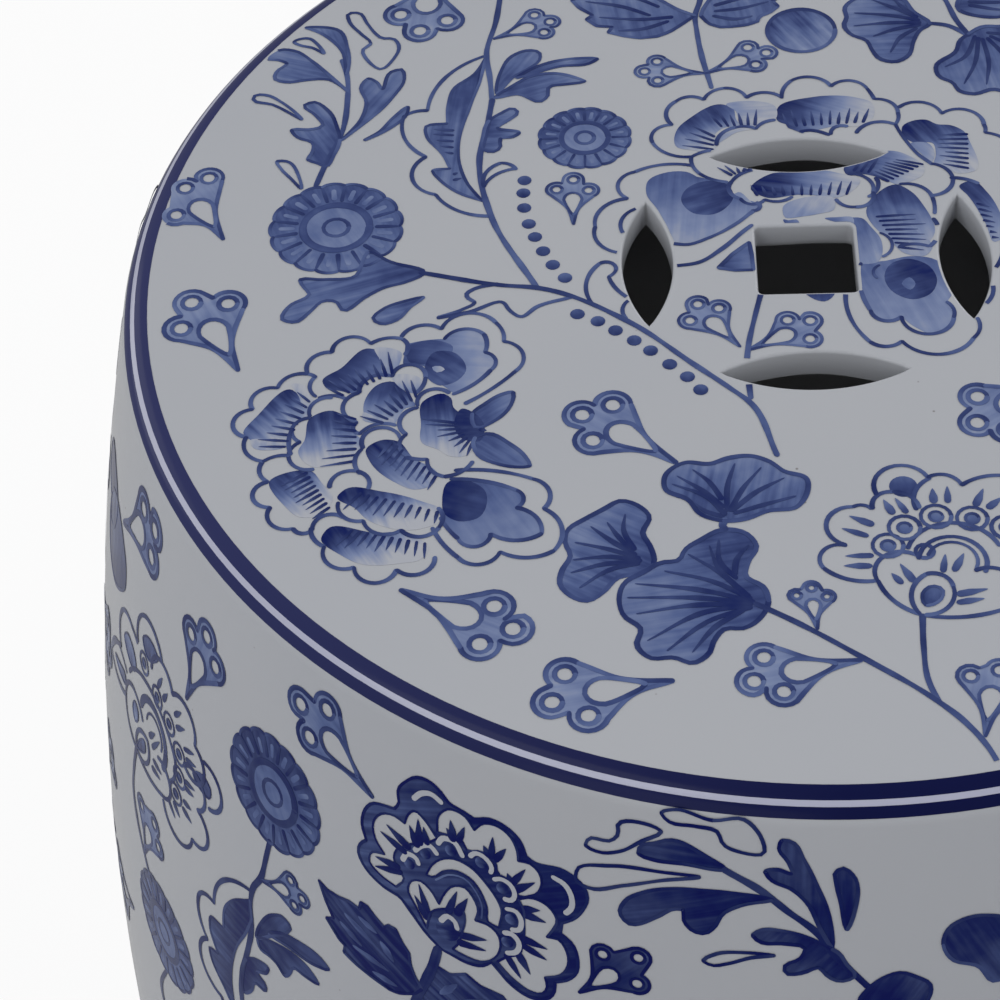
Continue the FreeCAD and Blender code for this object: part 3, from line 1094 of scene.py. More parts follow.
def middle_peony():
    """The large peony round the coin cut: white-edged petals, two heart-shaped ones and its centre."""
    for numbers in (
        (-60, 0.12, 0.85, 0.42, -25.2, 41.5, -22.5, 45, -15, 49.3, -13.3, 48.3, -12.2, 43.5, -11, 42.2,
         -15.3, 41.6, -17.2, 39.5, -17, 36, -18, 33.8, -22, 34.5, -25.3, 35.6),
        (-25, 0.06, 0.87, 0.33, -3.3, 48, 4, 51, 13.5, 50.5, 16.5, 49, 16, 42.5, 13.5, 41, 9, 41.2, 1, 40,
         -1.5, 42, -3.5, 43.2),
        (-60, 0.04, 0.85, 0.48, 22.5, 38, 22.7, 40.5, 28, 42.5, 30, 41, 33, 40.5, 35.5, 38.5, 36.5, 35,
         36.5, 25.5, 33, 25, 30.5, 27, 28.5, 28, 29, 31, 28.5, 35, 25, 35),
        (-20, 0.1, 0.87, 0.36, 10, 27.6, 14.5, 31.5, 16.8, 31.8, 18.8, 32.7, 24.5, 30, 26.3, 27.5, 25.6,
         24.5, 23.5, 23, 20, 22, 18.5, 23, 13, 25.5, 10.2, 25.2),
        (-15, 0.0, 0.83, 0.42, -10.3, 21.5, -6, 26.3, 0, 26.6, 5, 27, 9, 25.7, 12.5, 24, 7.5, 18.3, 4, 19,
         0, 19.5, -7.5, 19),
        (-80, 0.12, 0.75, 0.3, 13.2, 14, 20.5, 21.8, 23, 19.5, 25, 15.5, 26.5, 6, 22, 1, 16.8, 5.5),
        (-60, 0.1, 0.65, 0.3, 33, 21, 36, 22.6, 38.5, 19, 40.5, 13, 41, 5, 38.8, 3.5, 37.4, 9, 34.5, 18),
        (0, 0.62, 0.8, 0.35, -14.5, 49.3, -10, 50.3, -4, 48.3, -4.2, 44, -6.5, 43, -8.5, 41.2, -11.5, 43,
         -12.5, 47),
        (30, 0.62, 0.9, 0.35, -17, 36.3, -16, 40, -13, 41.5, -9, 41, -12.5, 40, -15.5, 37.5),
        (-60, 0.5, 0.75, 0.35, 24, 35, 27.5, 35, 28.8, 31, 28, 28.8, 26, 31.5),
        (60, 0.55, 0.78, 0.35, -4, 15.5, 7, 17.7, 6.5, 14.5, 3.5, 13.4, 0, 12.7, -3.6, 12.5),
        (-80, 0.3, 0.6, 0.35, 10.4, 12, 12, 11.8, 13.8, 9, 15.6, 5, 14, -2, 10.4, -2),
        (-80, 0.5, 0.7, 0.35, 20.5, 12, 22, 9, 25.8, 2, 24.5, 0, 20, 0.8, 18, 4),
        (0, 0.3, 0.5, 0.35, -4, 12, -3, 11.6, -1.3, 11.8, -0.8, 10.8, -2.2, 9.1, -3.3, 9.9),
        (0, 0.4, 0.6, 0.35, 4.5, 12, 7, 12.2, 10.3, 12, 10.2, 9.5, 7.5, 10.4),
        (-90, 0.1, 0.2, 0.35, -1.2, -9.6, 1, -12.3, 3, -13, 5, -11.2, 5.4, -9.6),
        (60, 0.1, 0.3, 0.35, 9.5, 27.8, 10.2, 25.2, 12, 26, 14.5, 29.5, 13, 29.2, 11, 28.3),
    ):
        patch(*numbers)
    heart = curve(-26.5, 5.3, -30, 16, -32.2, 21, -31.8, 25, -23, 27.3, -21.5, 26)
    heart += curve(
        -21.5, 26, -18, 24.8, -15.3, 24, -14.3, 21, -12.5, 18.8, -9.2, 17, -9.5, 14.8, -13, 12, -18, 8,
        -22.5, 5.2)[1:]
    wash(heart, -95, 0.3, 0.66, 0.25)
    touch(
        200, 0.08, 0.22, 0.3, -25, 19, -23.5, 22.5, -19.5, 24.5, -15.5, 23.5, -14, 20, -18.5, 14, -22.5,
        14.5)
    touch(0, 0.5, 0.7, 0.2, -14.2, 19.7, -12.3, 18.3, -10.3, 17.3, -11, 18.5, -13, 20.8)
    heart = curve(11, -2, 10.7, -8, 11.4, -14, 13, -17.5, 15.6, -19.2, 18, -18)
    heart += curve(18, -18, 20.5, -21, 23.5, -23, 27, -22, 28.5, -18, 27.4, -14)[1:]
    heart += curve(27.4, -14, 29, -11, 28.5, -4, 25.5, -1, 21.5, -0.2, 16, -1.4)[1:]
    wash(heart, -70, 0.36, 0.6, 0.25)
    touch(
        200, 0.05, 0.2, 0.3, 15.5, -6, 17, -2.5, 20.5, -1, 24.5, -3, 26, -7.5, 24.3, -11.5, 20.8, -13, 17,
        -10.8)
    touch(0, 0.3, 0.4, 0.2, 18.8, -8.3, 20.5, -6.5, 21.6, -8.5, 20.4, -10.2)
    for numbers in (
        (11, -2, -1.1, 12, -16, -2.1, 18, -18, -4.9, 28.4, -18.5, -0.7, 27.4, -14),
        (7.4, -10.5, -1.5, 11.3, -25, -1.4, 17.6, -25, -4.2, 31.8, -24.5, -0.9, 33, -18.8),
        (36.6, -7.5, 1.5, 34, -15.8), (37.2, -5.5, -0.9, 40.3, 3.5),
    ):
        scallops(*numbers)
    triangle = [(-18, -2.4), (-15, 1.7), (-11.4, 5.2), (-11, 1), (-10.9, -3.2), (-14.5, -3.2)]
    shape(triangle, toward=0, dark=0.2, pale=0.4, streak=0.3)
    for numbers in (
        (-22.5, 32.4, 1.6, -30.6, 37.4, 1.9, -26.3, 43, 1.7, -25.2, 50.8, 1.3, -19.2, 51.1, 0.9, -14.6,
         54.8, 1, -10, 51.4, 1.7, -2.4, 51.2),
        (-17, 36, 1.3, -12.6, 41.6, 0.5, -8.4, 41, 0.7, -4.3, 43.7),
        (-22.5, 32.2, -0.6, -20.8, 26.8, -0.5, -15.2, 24), (-22.5, 32.3, 0.3, -18.4, 34.3),
        (-2.4, 51, 0.7, 0, 56.8, 2.1, 8.4, 54.5, 2.2, 16, 53.6, 0.1, 17.4, 49.8, 1.6, 22.1, 45, 0.4, 21.2,
         41.2),
        (12.8, 38.8, 2.1, 21.3, 41.2),
    ):
        scallops(*numbers)
    lines((21.3, 41.2, 21.9, 39, 23.2, 35.6, 25, 31.8, 28, 28))
    lines((-1.4, 41.4, 0.4, 40.2, 1.5, 39.4), width=0.8)
    lines((1, 39.7, 3, 40, 5, 39.5, 7, 38.4), width=1.0, tones=(0.05, 0.15, 0.1))
    for numbers in (
        (7.4, 38.6, 1.3, 11, 41),
        (22.4, 46.8, 2.8, 31.4, 44.4, 3.2, 40, 40.4, 0.2, 40, 37.8, 0.6, 44.8, 34.5),
        (28, 28.2, 4.2, 27.4, 18.2), (31.5, 23.6, 0.5, 37, 21.6),
        (20.8, 22, 1.7, 27.2, 17.4, 0.2, 27.2, 12.6), (15.9, 24.2, 1.2, 14, 18.3),
        (-14.2, 24.2, -1.5, -12.6, 18.6), (-14.2, 24.2, 1.1, -7.6, 27.9),
        (-12.6, 18.6, -1.6, -7.6, 18.2, -1, -1.9, 18.8),
        (10.4, 25.6, 2, 15, 19.6, 1.6, 11, 15.2, 0.8, 7.2, 17.7), (-10.4, 14.8, -1.2, -9.3, 17.4),
        (-22.5, 29.6, -1.3, -34.5, 28, -2.8, -36.2, 19.6, -2.4, -43, 11, -2.1, -38, 2.9),
        (-34.4, 16.4, -1.9, -37, 8.4),
    ):
        scallops(*numbers)
    lines((-27, 5.3, -24, 4.9, -20, 6.6, -13, 11.7, -10.3, 14.6))
    lines((-27, -1.5, -22, -0.6, -17, 3.4, -12, 9, -10.6, 10.4), width=1.0)
    for width, *numbers in (
        (0.7, 14.7, -2.7, -1, 14, -6.5), (0.9, 26.8, 11, 1.4, 25.4, 2.6), (0.8, 19.2, 2.8, 0.7, 25.2, 2.6),
        (0.7, 15.6, 7, 2.2, 15.6, -0.2),
    ):
        scallops(*numbers, width=width)
    for numbers in (
        (4, -17.6, 34.6, -23.6, 36, -17.2, 38.6, -21.4, 42), (6, -15.6, 41.8, -18, 46, -8.6, 42, -8, 47.6),
        (10, -1.4, 41.2, -2.6, 46, 14.4, 42, 16, 46.6), (8, 36.4, 37.4, 29.6, 37.4, 35.6, 26.4, 30.4, 28),
        (8, 26.2, 28, 20.4, 29.8, 18.6, 22.8, 14.6, 26), (3, 11.4, 26.4, 13.4, 30, 14.4, 25.8, 16.6, 30),
        (11, -9, 19.4, -10.2, 22.6, 9.4, 19, 10.8, 23.4), (8, 15, 12, 25, 12.6, 18.8, 2.6, 23.6, 1.6),
        (7, 36, 15.4, 38.6, 14.2, 37.6, 5, 39.8, 4.6), (5, -14, 26, -17.8, 29.4, -11, 27.4, -8.6, 28.8),
    ):
        comb(*numbers)


def fan_leaf(numbers, veins, toward):
    """A broad leaf with a lobed edge and veins that spread from its stalk."""
    line = curve(*numbers, closed=True)
    wash(line, toward, 0.22, 0.45, 0.4)
    outline(line, width=1.0, tones=(0.1, 0.22, 0.2))
    for points in veins:
        vein(*points, width=1.15, tones=(0.06, 0.16, 0.1))


def leaf_spray_leaves():
    """Three fan leaves on one stalk."""
    fan_leaf(
        (-19.5, -72.3, -24, -70.3, -26, -66.8, -30.3, -63.8, -30.2, -60.2, -26.5, -57, -21.5, -57.4, -18,
         -56, -13.5, -55.6, -10, -57.3, -7.5, -59.8, -3.6, -61.5, -5.8, -69.3, -11, -70, -15, -71.8),
        ((-19, -71, -22, -66.5, -29, -62.5), (-19.3, -69, -23, -64.6, -28, -60.4),
         (-19.5, -67, -22, -62, -25, -58.8), (-18.8, -70, -18.4, -63, -16.8, -57.4),
         (-18.3, -70, -15.5, -64, -11.8, -58.6), (-18, -70, -13, -65, -7.5, -61.5),
         (-17.6, -70.5, -11.5, -68.3, -5.5, -66.3), (-19.3, -71.3, -23, -69.6, -25, -67.5)),
        80)
    fan_leaf(
        (-33, -83, -33.4, -78.5, -34.8, -75, -33.4, -71, -39, -66.6, -42, -68.6, -45.5, -71, -49, -74,
         -49.4, -77, -48.4, -80.3, -50, -84, -50.4, -87.4, -45, -91.6, -42.3, -89.4, -39.6, -86, -36.2, -85),
        ((-35, -82, -41, -80.8, -48, -81.4), (-35.3, -81.4, -41, -79, -47.6, -77),
         (-36, -80.6, -40.5, -77, -44.6, -73), (-36.3, -79.4, -38.4, -74, -38, -70),
         (-35.4, -82.5, -41, -84, -46.8, -88.4), (-36, -82.2, -42, -82.6, -48.4, -84.6),
         (-37.4, -79, -39.5, -75.6, -41.5, -72)),
        150)
    fan_leaf(
        (-12, -92.5, -17, -99, -20.3, -99, -22.2, -101.5, -23.5, -105, -26.5, -107, -29.6, -105.6, -34,
         -105.6, -36.4, -102.6, -35.6, -98.6, -38.6, -95.5, -38.4, -87.4, -34.5, -84.6, -31.5, -82.5, -28.2,
         -82, -27, -79.4, -24, -77, -20, -74.6, -15.4, -75.6, -13.6, -79, -15.4, -83, -16, -86.3, -12.8, -89),
        ((-14.5, -93, -24, -91.5, -38, -91), (-14.5, -92.6, -24, -89.6, -36.5, -87.6),
         (-15, -92, -22, -87.5, -31, -84.6), (-15.4, -91.6, -20.5, -85.5, -26.5, -80.5),
         (-16, -91, -21, -84, -22.4, -78.5), (-17.5, -87, -20.6, -82.6, -20.6, -77),
         (-18, -86.2, -17.4, -82, -15, -78.5), (-15, -93.4, -24, -95, -34.5, -101.5),
         (-15, -93.8, -23, -97, -31, -104), (-16.4, -94.4, -22, -98.5, -26.4, -104.5),
         (-15, -93.2, -26, -93.2, -36.4, -95)),
        190)
    lines((-19.2, -74.5, -19.8, -73.6, -19.2, -72), width=1.6)


def leaf_spray():
    """The fan leaves in front of the cut-outs, with their stem."""
    leaf_spray_leaves()
    lines((-14.5, -93, -8, -97.2, 5, -107, 16, -116, 21, -121.3, 24.5, -126.8, 27.2, -134), width=1.15)


def outlined_lotus():
    """A lotus in plain outline, seen from the side, with pairs of short dashes in its petals."""
    for width, *numbers in (
        (0.9, 3, -79, 4.4, 5, -69.4, 0.7, 8.4, -70), (0.9, 8.6, -70, 1.6, 12.8, -65.8, 1.2, 17.4, -70),
        (0.9, 9.6, -66.4, 5.4, 19.6, -62.2, 1.7, 25.8, -64.4, 1.3, 35.8, -62.6),
        (0.9, 16.8, -70.4, 1.6, 20, -62.4),
        (0.9, 35.8, -62.6, 1.3, 36.5, -70, 2.6, 43.4, -76, 0.9, 41, -80.4, 6.2, 38, -88),
        (0.9, 3, -79.2, -2.7, -1.4, -84.8, -1.3, 8.3, -88),
        (0.9, 8.2, -88, 4.1, 16.6, -82.5, 3.4, 16.8, -82.6), (0.9, 14.4, -80.2, 6.1, 31.4, -80),
        (0.9, 16.2, -82.8, 7.2, 28.2, -86.4), (0.7, 18, -82, 5, 26.6, -85.6),
        (0.9, 26.4, -86, 1, 32.4, -86.8, 1.6, 37, -92), (0.9, 8.3, -88, -1.3, 15.4, -96.4),
        (0.9, 15.6, -96.6, -2.5, 37, -92),
        (0.9, 15.4, -96.4, 2.2, 17.4, -86.6, 1.4, 22, -90, 2.1, 16.4, -96.6),
    ):
        scallops(*numbers, width=width)
    wash(ring_line(14.8, -64.4, 2.7), dark=0.15, pale=0.3, streak=0.2)
    for x, y, radius in (
        (10.8, -79.4, 2.9), (14.2, -75, 3), (20.3, -72.3, 2.9), (27, -73, 2.9), (33.2, -75.4, 2.9),
    ):
        outline(ring_line(x, y, radius), width=0.8)
        shape(ring_line(x, y, 1.3), width=0.6, toward=90, dark=0.3, pale=0.4, streak=0.1)
    line = curve(16.8, -94.4, 16.2, -91.4, 18, -89.6, 20, -90.4, 19.6, -92.8, 17.8, -94.2, closed=True)
    shape(line, width=0.7, toward=90, dark=0.15, pale=0.3, streak=0.2)
    dash_pairs(
        0.2, (8.6, -74.2, 4.2, -71.8, 7.4, -77, 2.4, -74.8),
        (12.4, -71.6, 10.8, -67.8, 15, -71.4, 13.2, -67.8), (20.2, -69, 20.2, -65, 22.8, -69, 23, -65.2),
        (27.8, -70, 29.6, -65.8, 30, -70.6, 33, -67.8), (8, -81.8, 2, -81.8, 7.6, -84.4, 1.8, -84.2),
        (15, -88.6, 12.6, -83.8, 12.8, -89, 10.6, -85.8),
        (20.4, -86.4, 21.2, -81.8, 22.4, -86.2, 24.4, -82.2),
        (22.4, -91.8, 28.2, -90.6, 22.2, -93.8, 28, -92.8), (35.6, -74, 40.2, -72, 36, -82, 42, -82.2))
    lines((15.8, -96.6, 15.4, -104, 15.6, -112, 17, -117), width=1.1)


def sprig():
    """Upright sprig of pointed and forked leaves, on the big rosette."""
    lines((-102, 26, -100.8, 31, -97, 45, -96.6, 54, -97, 62, -98.4, 68), width=1.2)
    for toward, *numbers in (
        (110, -97.2, 63, -98.4, 70.5, -106, 79.2, -107.2, 79.8, -104, 79.9, -100, 78.8, -97.4, 72, -96.8, 66),
        (160, -96.6, 57, -101, 61.3, -106, 61.4, -110.5, 60.8, -113, 62, -112.6, 65, -110.6, 67.2, -112.8,
         68.6, -115, 69, -112.4, 72.2, -109, 71.6, -105, 67.8, -100, 61.5),
        (60, -97.2, 40.8, -93.6, 47, -92.4, 53, -93.8, 59, -92.4, 61.4, -90.4, 60, -89.2, 57.6, -87.4, 63.4,
         -85.2, 64.2, -84.4, 61, -86.6, 55, -94, 44.5),
        (50, -92.3, 40.6, -89, 43.5, -86.6, 47.5, -83.2, 51.3, -83.6, 48.4, -86.4, 44.8),
        (120, -97.6, 41, -98.4, 45, -100.4, 50.4, -104.4, 53.8, -106, 52.8, -103.4, 49.4, -101.6, 45.6,
         -104, 44.6, -108.3, 44.6, -107, 42.2, -103.4, 40, -103.4, 37, -104.2, 34.6, -102, 33.4, -100.2,
         32.2, -98.6, 36),
    ):
        leaf(*numbers, toward=toward)
    closed_lines(
        (-106.2, 48, -113, 53.3, -117.3, 55.2, -117, 56.6, -114.6, 56.6, -111, 54),
        (-105, 25.4, -107.4, 28.6, -109.8, 32, -110.8, 34.4, -109, 34.4, -105.6, 28.6),
        (-92.3, 73.4, -94.5, 76.8, -97.5, 81.6, -97.8, 84.4, -95.6, 84.6, -93.4, 80.6, -91, 76.4, -90, 75.3,
         -87.4, 75, -86, 72.4, -87, 68, -89.6, 64.4, -93, 68, -94, 71.4),
        (-102.6, 70.4, -105, 72.4, -108.5, 73.8, -109.6, 74.8, -106.5, 76, -104, 73.4))


def feather_leaf():
    """Long outlined leaf with cusps down one side and a dark blade inside, on its own stem."""
    scallops(-67, 68, -3.1, -79, 49.9, -0.6, -84, 48.3, -2.3, -78.9, 34.6, -4, -76.5, 22.4, -1.9, -65, 15.2)
    blade = curve(-66.6, 67.5, -69, 62, -73.4, 57.2, -74.6, 51, -74.6, 45.4)
    blade += curve(-74.6, 45.4, -79.2, 44.6, -79, 41.5, -75.2, 35, -73.6, 30.6)[1:]
    blade += curve(-73.6, 30.6, -77.4, 30, -76, 27.4, -71.4, 22.6, -66.6, 20)[1:]
    blade += curve(-66.6, 20, -70, 26, -71.8, 33, -71.8, 41, -70, 50, -67.8, 59)[1:]
    wash(blade, -95, 0.14, 0.4, 0.5)
    outline(blade, width=0.7)
    for y in (41.4, 39.4, 37.4, 35.4, 43, 28.6, 26.8):
        vein(-73, y, -77.5 + max(0, 41 - y) * 0.45, y + 0.6, width=0.8)
    lines((-63.5, 92, -64.6, 80, -66.5, 69, -65.6, 60, -65, 52), width=1.2)
    lines((-65, 53, -66, 44, -67.4, 34, -64.5, 14.5, -55, -7), width=1.3)
    scallops(-66.4, 24.8, 1.5, -62.8, 32, 0.6, -59.6, 29.8)
    scallops(-66.4, 24.4, 1.4, -59.6, 30)
    for toward, *numbers in (
        (60, -64, 55, -63.4, 62, -60.6, 68, -57.6, 69.6, -55, 69, -54.8, 66, -57, 63.4, -60.6, 60.4),
        (30, -59.8, 60.2, -57, 62.8, -46, 66.4, -42, 66, -44, 64.4, -50, 63.8, -55, 62),
        (20, -64.4, 53.6, -60.8, 57.4, -56.6, 60.6, -51.4, 61.4, -46.6, 59.6, -44.8, 58.4, -48.4, 57.6,
         -52.8, 56.6, -53, 53.6, -54.4, 51.9, -59.4, 54.6),
        (0, -65.6, 46, -63, 48.4, -60.4, 49.9, -59.4, 48.6, -61.4, 46, -63.8, 43.6, -59, 41.6, -60.4, 40.4,
         -63, 40, -63.2, 36.6, -64.6, 35.6, -66.8, 36.4, -66.8, 41),
    ):
        leaf(*numbers, toward=toward)


def toothed_leaf(numbers, veins):
    """A leaf with a toothed edge, drawn straight from tooth to tooth, and its dark veins."""
    shape(pairs(numbers), width=0.9, toward=100, dark=0.3, pale=0.45, streak=0.4)
    for points in veins:
        vein(*points, width=1.1, tones=(0.08, 0.2, 0.1))


def small_rosette():
    """A rosette for the places that the photograph doesn't show."""
    rosette(0, 0, 12.5, 17, 6, 2.6)


def loose_trefoil():
    """A trefoil that can be placed and turned anywhere."""
    trefoil(10, 0, -6.5, 6.5, -10, 0, -7, -6.5)


# The middle of each motif, about which it is turned when it is drawn again elsewhere
MOTIF_MIDDLES = {
    large_peony: (-82, -52),
    leaf_spray_leaves: (-26, -82),
    sprig: (-98, 55),
    outlined_lotus: (20, -78),
    feather_leaf: (-70, 42),
}


def placed(motif, x, y, turn=0, size=1.0, flip=False):
    """Draw a motif again at another place of the same surface."""
    kept = dict(ground)
    angle = math.radians(turn)
    ground.update(to=pairs((x, y))[0], in_degrees=False, pivot=MOTIF_MIDDLES.get(motif, (0, 0)))
    ground.update(cos=math.cos(angle) * size, sin=math.sin(angle) * size, flip=-1 if flip else 1)
    motif()
    ground.update(kept)


def hidden_flowers():
    """The part of the seat that the photograph leaves out, filled with more of the same flowers."""
    scallops(44.8, 34.5, 3.2, 47.2, 27.6, 3.6, 47.6, 19, 3.5, 46.4, 10, 2.8, 40.3, 3.5)
    lines(
        (36.8, -93.6, 46, -86, 56, -76), (50, -44, 56, -36, 64, -30), (84, 26, 82, 36, 80, 44),
        (-64.2, 90, -63, 95, -61, 99), width=1.2)
    for place in (
        (small_rosette, -22, 111), (small_rosette, -59, 104, 0, 0.64), (large_peony, 86, -4, 160),
        (leaf_spray_leaves, 76, -66, 95, 0.95), (sprig, 86, 66, -40, 0.9, True),
        (outlined_lotus, 28, 106, 190, 0.75), (loose_trefoil, 57, -100, 210), (loose_trefoil, 112, -52, 60),
        (loose_trefoil, 122, 12, 0, 0.9), (loose_trefoil, 55, 40, 120, 0.7),
        (loose_trefoil, 61, 98, 75, 0.9), (loose_trefoil, 112, 42, 15, 0.9),
        (loose_trefoil, -38, 112, 200, 0.8), (loose_trefoil, 2, 122, 100, 0.7),
        (loose_trefoil, 61, -46, 250, 0.8), (loose_trefoil, 104, -74, 130, 0.7),
    ):
        placed(*place)


def seat_flowers():
    """Everything painted on the seat inside its bands."""
    large_peony()
    middle_peony()
    leaf_spray()
    outlined_lotus()
    sprig()
    feather_leaf()
    rosette(-97, 12.8, 13.9, 17, 6.5, 2.7)
    rosette(-45, 39.5, 9.8, 16, 4.5, 2.0)
    shape(ring_line(3, 74, 7.5), width=1.0, toward=-60, dark=0.2, pale=0.5, streak=0.6)
    leaf(
        -90, 5, -85.5, 2, -78, -1.8, -82, -4.4, -86.5, -6, -90, -8.6, -94.4, -12.4, -96, -9.6, -98.5, -9.4,
        -101, -12.4, -104, -15.5, -106.6, -14.6, -105.4, -10.6, -101.5, -7.3, -103, -4.8, -103.7, -3, -99,
        -3, -92, -1.8, -91.2, 1, toward=200)
    leaf(
        -78, -9, -82, -10, -86.5, -12.4, -88.2, -15, -86.4, -16.6, -83.4, -15.6, -80.6, -11.8, width=0.7,
        toward=200)
    lines((-79, -1.6, -62, -6, -55, -7, -36, -18, -24, -30, -17, -37, -13.3, -41, -8.6, -55.6), width=1.2)
    lines((-9.5, -9.5, -11.2, -17, -12.8, -25, -13.4, -30), (-13.2, -36, -13, -40), width=1.1)
    lines(
        (-63, -5.5, -68, -7, -69.4, -8.4, -69, -9.6, -67.6, -10.8, -70, -12.8, -75, -15),
        (-75, -15.2, -68.6, -13.6, -61.6, -11.3, -60.8, -13, -58.2, -15.4, -55, -12.6, -48, -10), width=0.9)
    scallops(-43.6, -12.4, 2.2, -42, 0, 1.3, -38.9, -2.4, 0.2, -40.4, -4.2, -0.7, -36, -11)
    scallops(-36, -11, -1.2, -37, -16.6)
    lines((-22, 99, -18.9, 86, -20.2, 80, -20, 75, -19.3, 67, -17.4, 55), width=1.2)
    dot_row(
        -57.8, 26.2, -58, 22.2, -57.8, 17.5, -56.8, 12.5, -55.5, 8.4, -53.8, 4, -51.8, -0.2, -49.3, -4.2,
        -46.8, -15, -42.7, -17.2, -39.2, -20, -35.5, -23, -32.3, -26, -28.6, -30, -25.2, -33.6, -22.7, -37.3,
    )
    for numbers in (
        (-120.5, 10, -125, 29.5, -129.8, 26.5, -131, 18),
        (-114.5, -29, -125.5, -9, -118, -9.5, -127, -16.5), (-47.5, 12, -51, 23, -47.5, 26, -44.3, 22.5),
        (-80, -88, -62.5, -92.5, -59, -98, -65, -101.5), (-28, -57, -46, -43.5, -40, -41, -44, -50.5),
        (-30, -111, -49.5, -109, -51.8, -115.5, -45.3, -118.7),
        (4, -107, -13.5, -106, -15.5, -111.5, -10.3, -114),
        (-14.5, -25.5, -22.5, -13, -18.3, -14.3, -24.2, -17.7),
        (-13, -26.5, -4.7, -18.2, -0.2, -18.5, -0.5, -23.7), (-18.5, 60, -29, 64.5, -31.8, 61.2, -29, 58),
        (-18.5, 60, -9, 68.5, -5, 66.5, -7.5, 62.5), (-3.5, -99.5, -6.8, -91.3, -4, -89.5, -1.3, -91.7),
        (24.5, -125, 23.2, -111.2, 28.5, -110, 31, -114), (-65, 74, -56, 82, -52.5, 79.5, -53.8, 75.8),
        (-79, 100, -86, 83.5, -81.5, 77.5, -75.5, 81), (48, -36, 31, -41, 30.3, -48, 36, -50),
    ):
        trefoil(*numbers)
    fan_leaf(
        (31.4, 75, 29, 72.8, 27.6, 69.8, 25.6, 63.9, 23.1, 62.2, 19.6, 63.3, 18.1, 66.4, 17.1, 69.8, 14,
         71.9, 12.5, 75.3, 13.3, 78.2, 13, 81, 22.6, 86.6, 26, 84.4, 28.1, 79.6),
        ((29.6, 75.6, 22, 75.8, 14.6, 75), (29.4, 76.4, 22, 78.6, 15, 79.6), (29, 77.4, 24, 81, 19, 84.4),
         (29.4, 74.8, 24, 73.6, 18.6, 71.2), (28.6, 73.8, 24.6, 70.6, 22, 65.4),
         (28.2, 78.4, 26, 81, 24, 84.4)),
        180)
    fan_leaf(
        (39.5, 71.1, 37.4, 68.9, 36.4, 65.5, 31.4, 60, 32, 56.6, 34.6, 54.6, 35.8, 51.7, 39, 50.6, 43, 52,
         47, 50.6, 51, 53, 51.6, 57.5, 54.6, 61, 53, 65.5, 54, 70, 50.5, 73.5, 46.6, 73.4, 43, 73.6),
        ((41, 70.6, 37.8, 63, 33.4, 60), (41.6, 70, 40, 61, 37, 54), (42.4, 69.6, 43, 61, 41.8, 53.6),
         (43.4, 69.8, 47, 62, 47, 53.4), (44, 70.4, 49, 66, 52.6, 61), (43.4, 71.4, 48, 70.6, 52, 69.6)),
        -80)
    fan_leaf(
        (38.2, 79.6, 41.9, 77.4, 47, 76.8, 53.6, 82.6, 52, 87.4, 48, 90, 43, 89.4, 40.4, 86.6),
        ((40.4, 82.6, 46, 82, 52, 82.4), (40.4, 81.4, 46, 79.6, 49.6, 79), (40.6, 83.8, 45, 86, 49.4, 87.6)),
        0)
    lines((31.2, 75.3, 35, 74.4, 39.4, 70.8), (39.6, 70.6, 37.4, 75.8, 35.6, 83.1, 32.5, 92), width=1.2)
    toothed_leaf(
        (-20.2, 80.3, -23.6, 76.9, -25.9, 74.8, -28.9, 73.2, -32.6, 72.8, -36.2, 73.7, -39.6, 75.2, -38.6,
         77, -42.1, 77.5, -44.4, 80, -43, 81.4, -46, 84.2, -47.6, 87, -46, 88.6, -47.8, 92, -43.6, 92.4,
         -42, 95.4, -38.6, 94, -35, 95, -31.6, 91.4, -28, 86.4, -24, 82.6),
        ((-25, 80, -32, 79.4, -41.6, 80.6), (-26, 78.6, -32, 76, -37.4, 75.6),
         (-28, 83.6, -33, 87, -42, 90), (-30, 80.6, -36, 84, -44.6, 86.4), (-30.6, 86.6, -34, 90, -38, 92.6)),
    )
    toothed_leaf(
        (-19, 80.2, -17.3, 77.2, -14.8, 75.9, -11.9, 75.9, -8.9, 76.4, -6.4, 77.6, -6, 79.3, -3.6, 80.6,
         -1.6, 82.8, -2.8, 84.8, 0.6, 88, -1.8, 90, -0.6, 93, -4, 93.4, -7, 95.4, -10, 93, -13.6, 91, -16.2,
         87, -18.2, 83),
        ((-16.4, 80, -11, 78.6, -7.4, 79.6), (-16, 81.6, -10, 82.4, -3.6, 84.6),
         (-16, 83.6, -10, 86, -2.8, 89.4), (-14.6, 86.6, -9, 90.4, -5, 92)))
    hidden_flowers()


def close_layers(name):
    """Make one piece of each layer of the drawing, with its unrolled picture as its UV map."""
    for layer, store in ground["layers"].items():
        if not store["faces"]:
            continue
        piece = mesh_piece(name + "_" + layer, store["points"], faces=store["faces"])
        mesh = piece.data
        for title in ("flow", "tones"):
            attribute = mesh.attributes.new(title, "FLOAT_VECTOR", "POINT")
            attribute.data.foreach_set("vector", [value for row in store[title] for value in row])
        unrolled = mesh.uv_layers.new(name="OFBake")
        for loop in mesh.loops:
            unrolled.data[loop.index].uv = store["map"][loop.vertex_index]
        mesh.materials.append(cobalt)
        bpy.ops.object.shade_flat()
        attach(piece, "root")


# Cobalt blue: oxide ground fine and brushed on, under the same clear glass as the white. The eye
# sees deep violet navy where the brush was full, and grey blue where it ran thin, in streaks.
COBALT_TONES = (
    (0.0, "#030E52"), (0.1, "#132058"), (0.2, "#293461"), (0.32, "#3A4775"),
    (0.46, "#52618D"), (0.7, "#7885A7"), (1.0, "#A8ABB4"),
)
STREAK_SPACING = 1.5
POOL_SIZE = 5.0
POOL_SWING = 0.14
cobalt, tree, shader = new_material("brushed_cobalt_under_glaze")


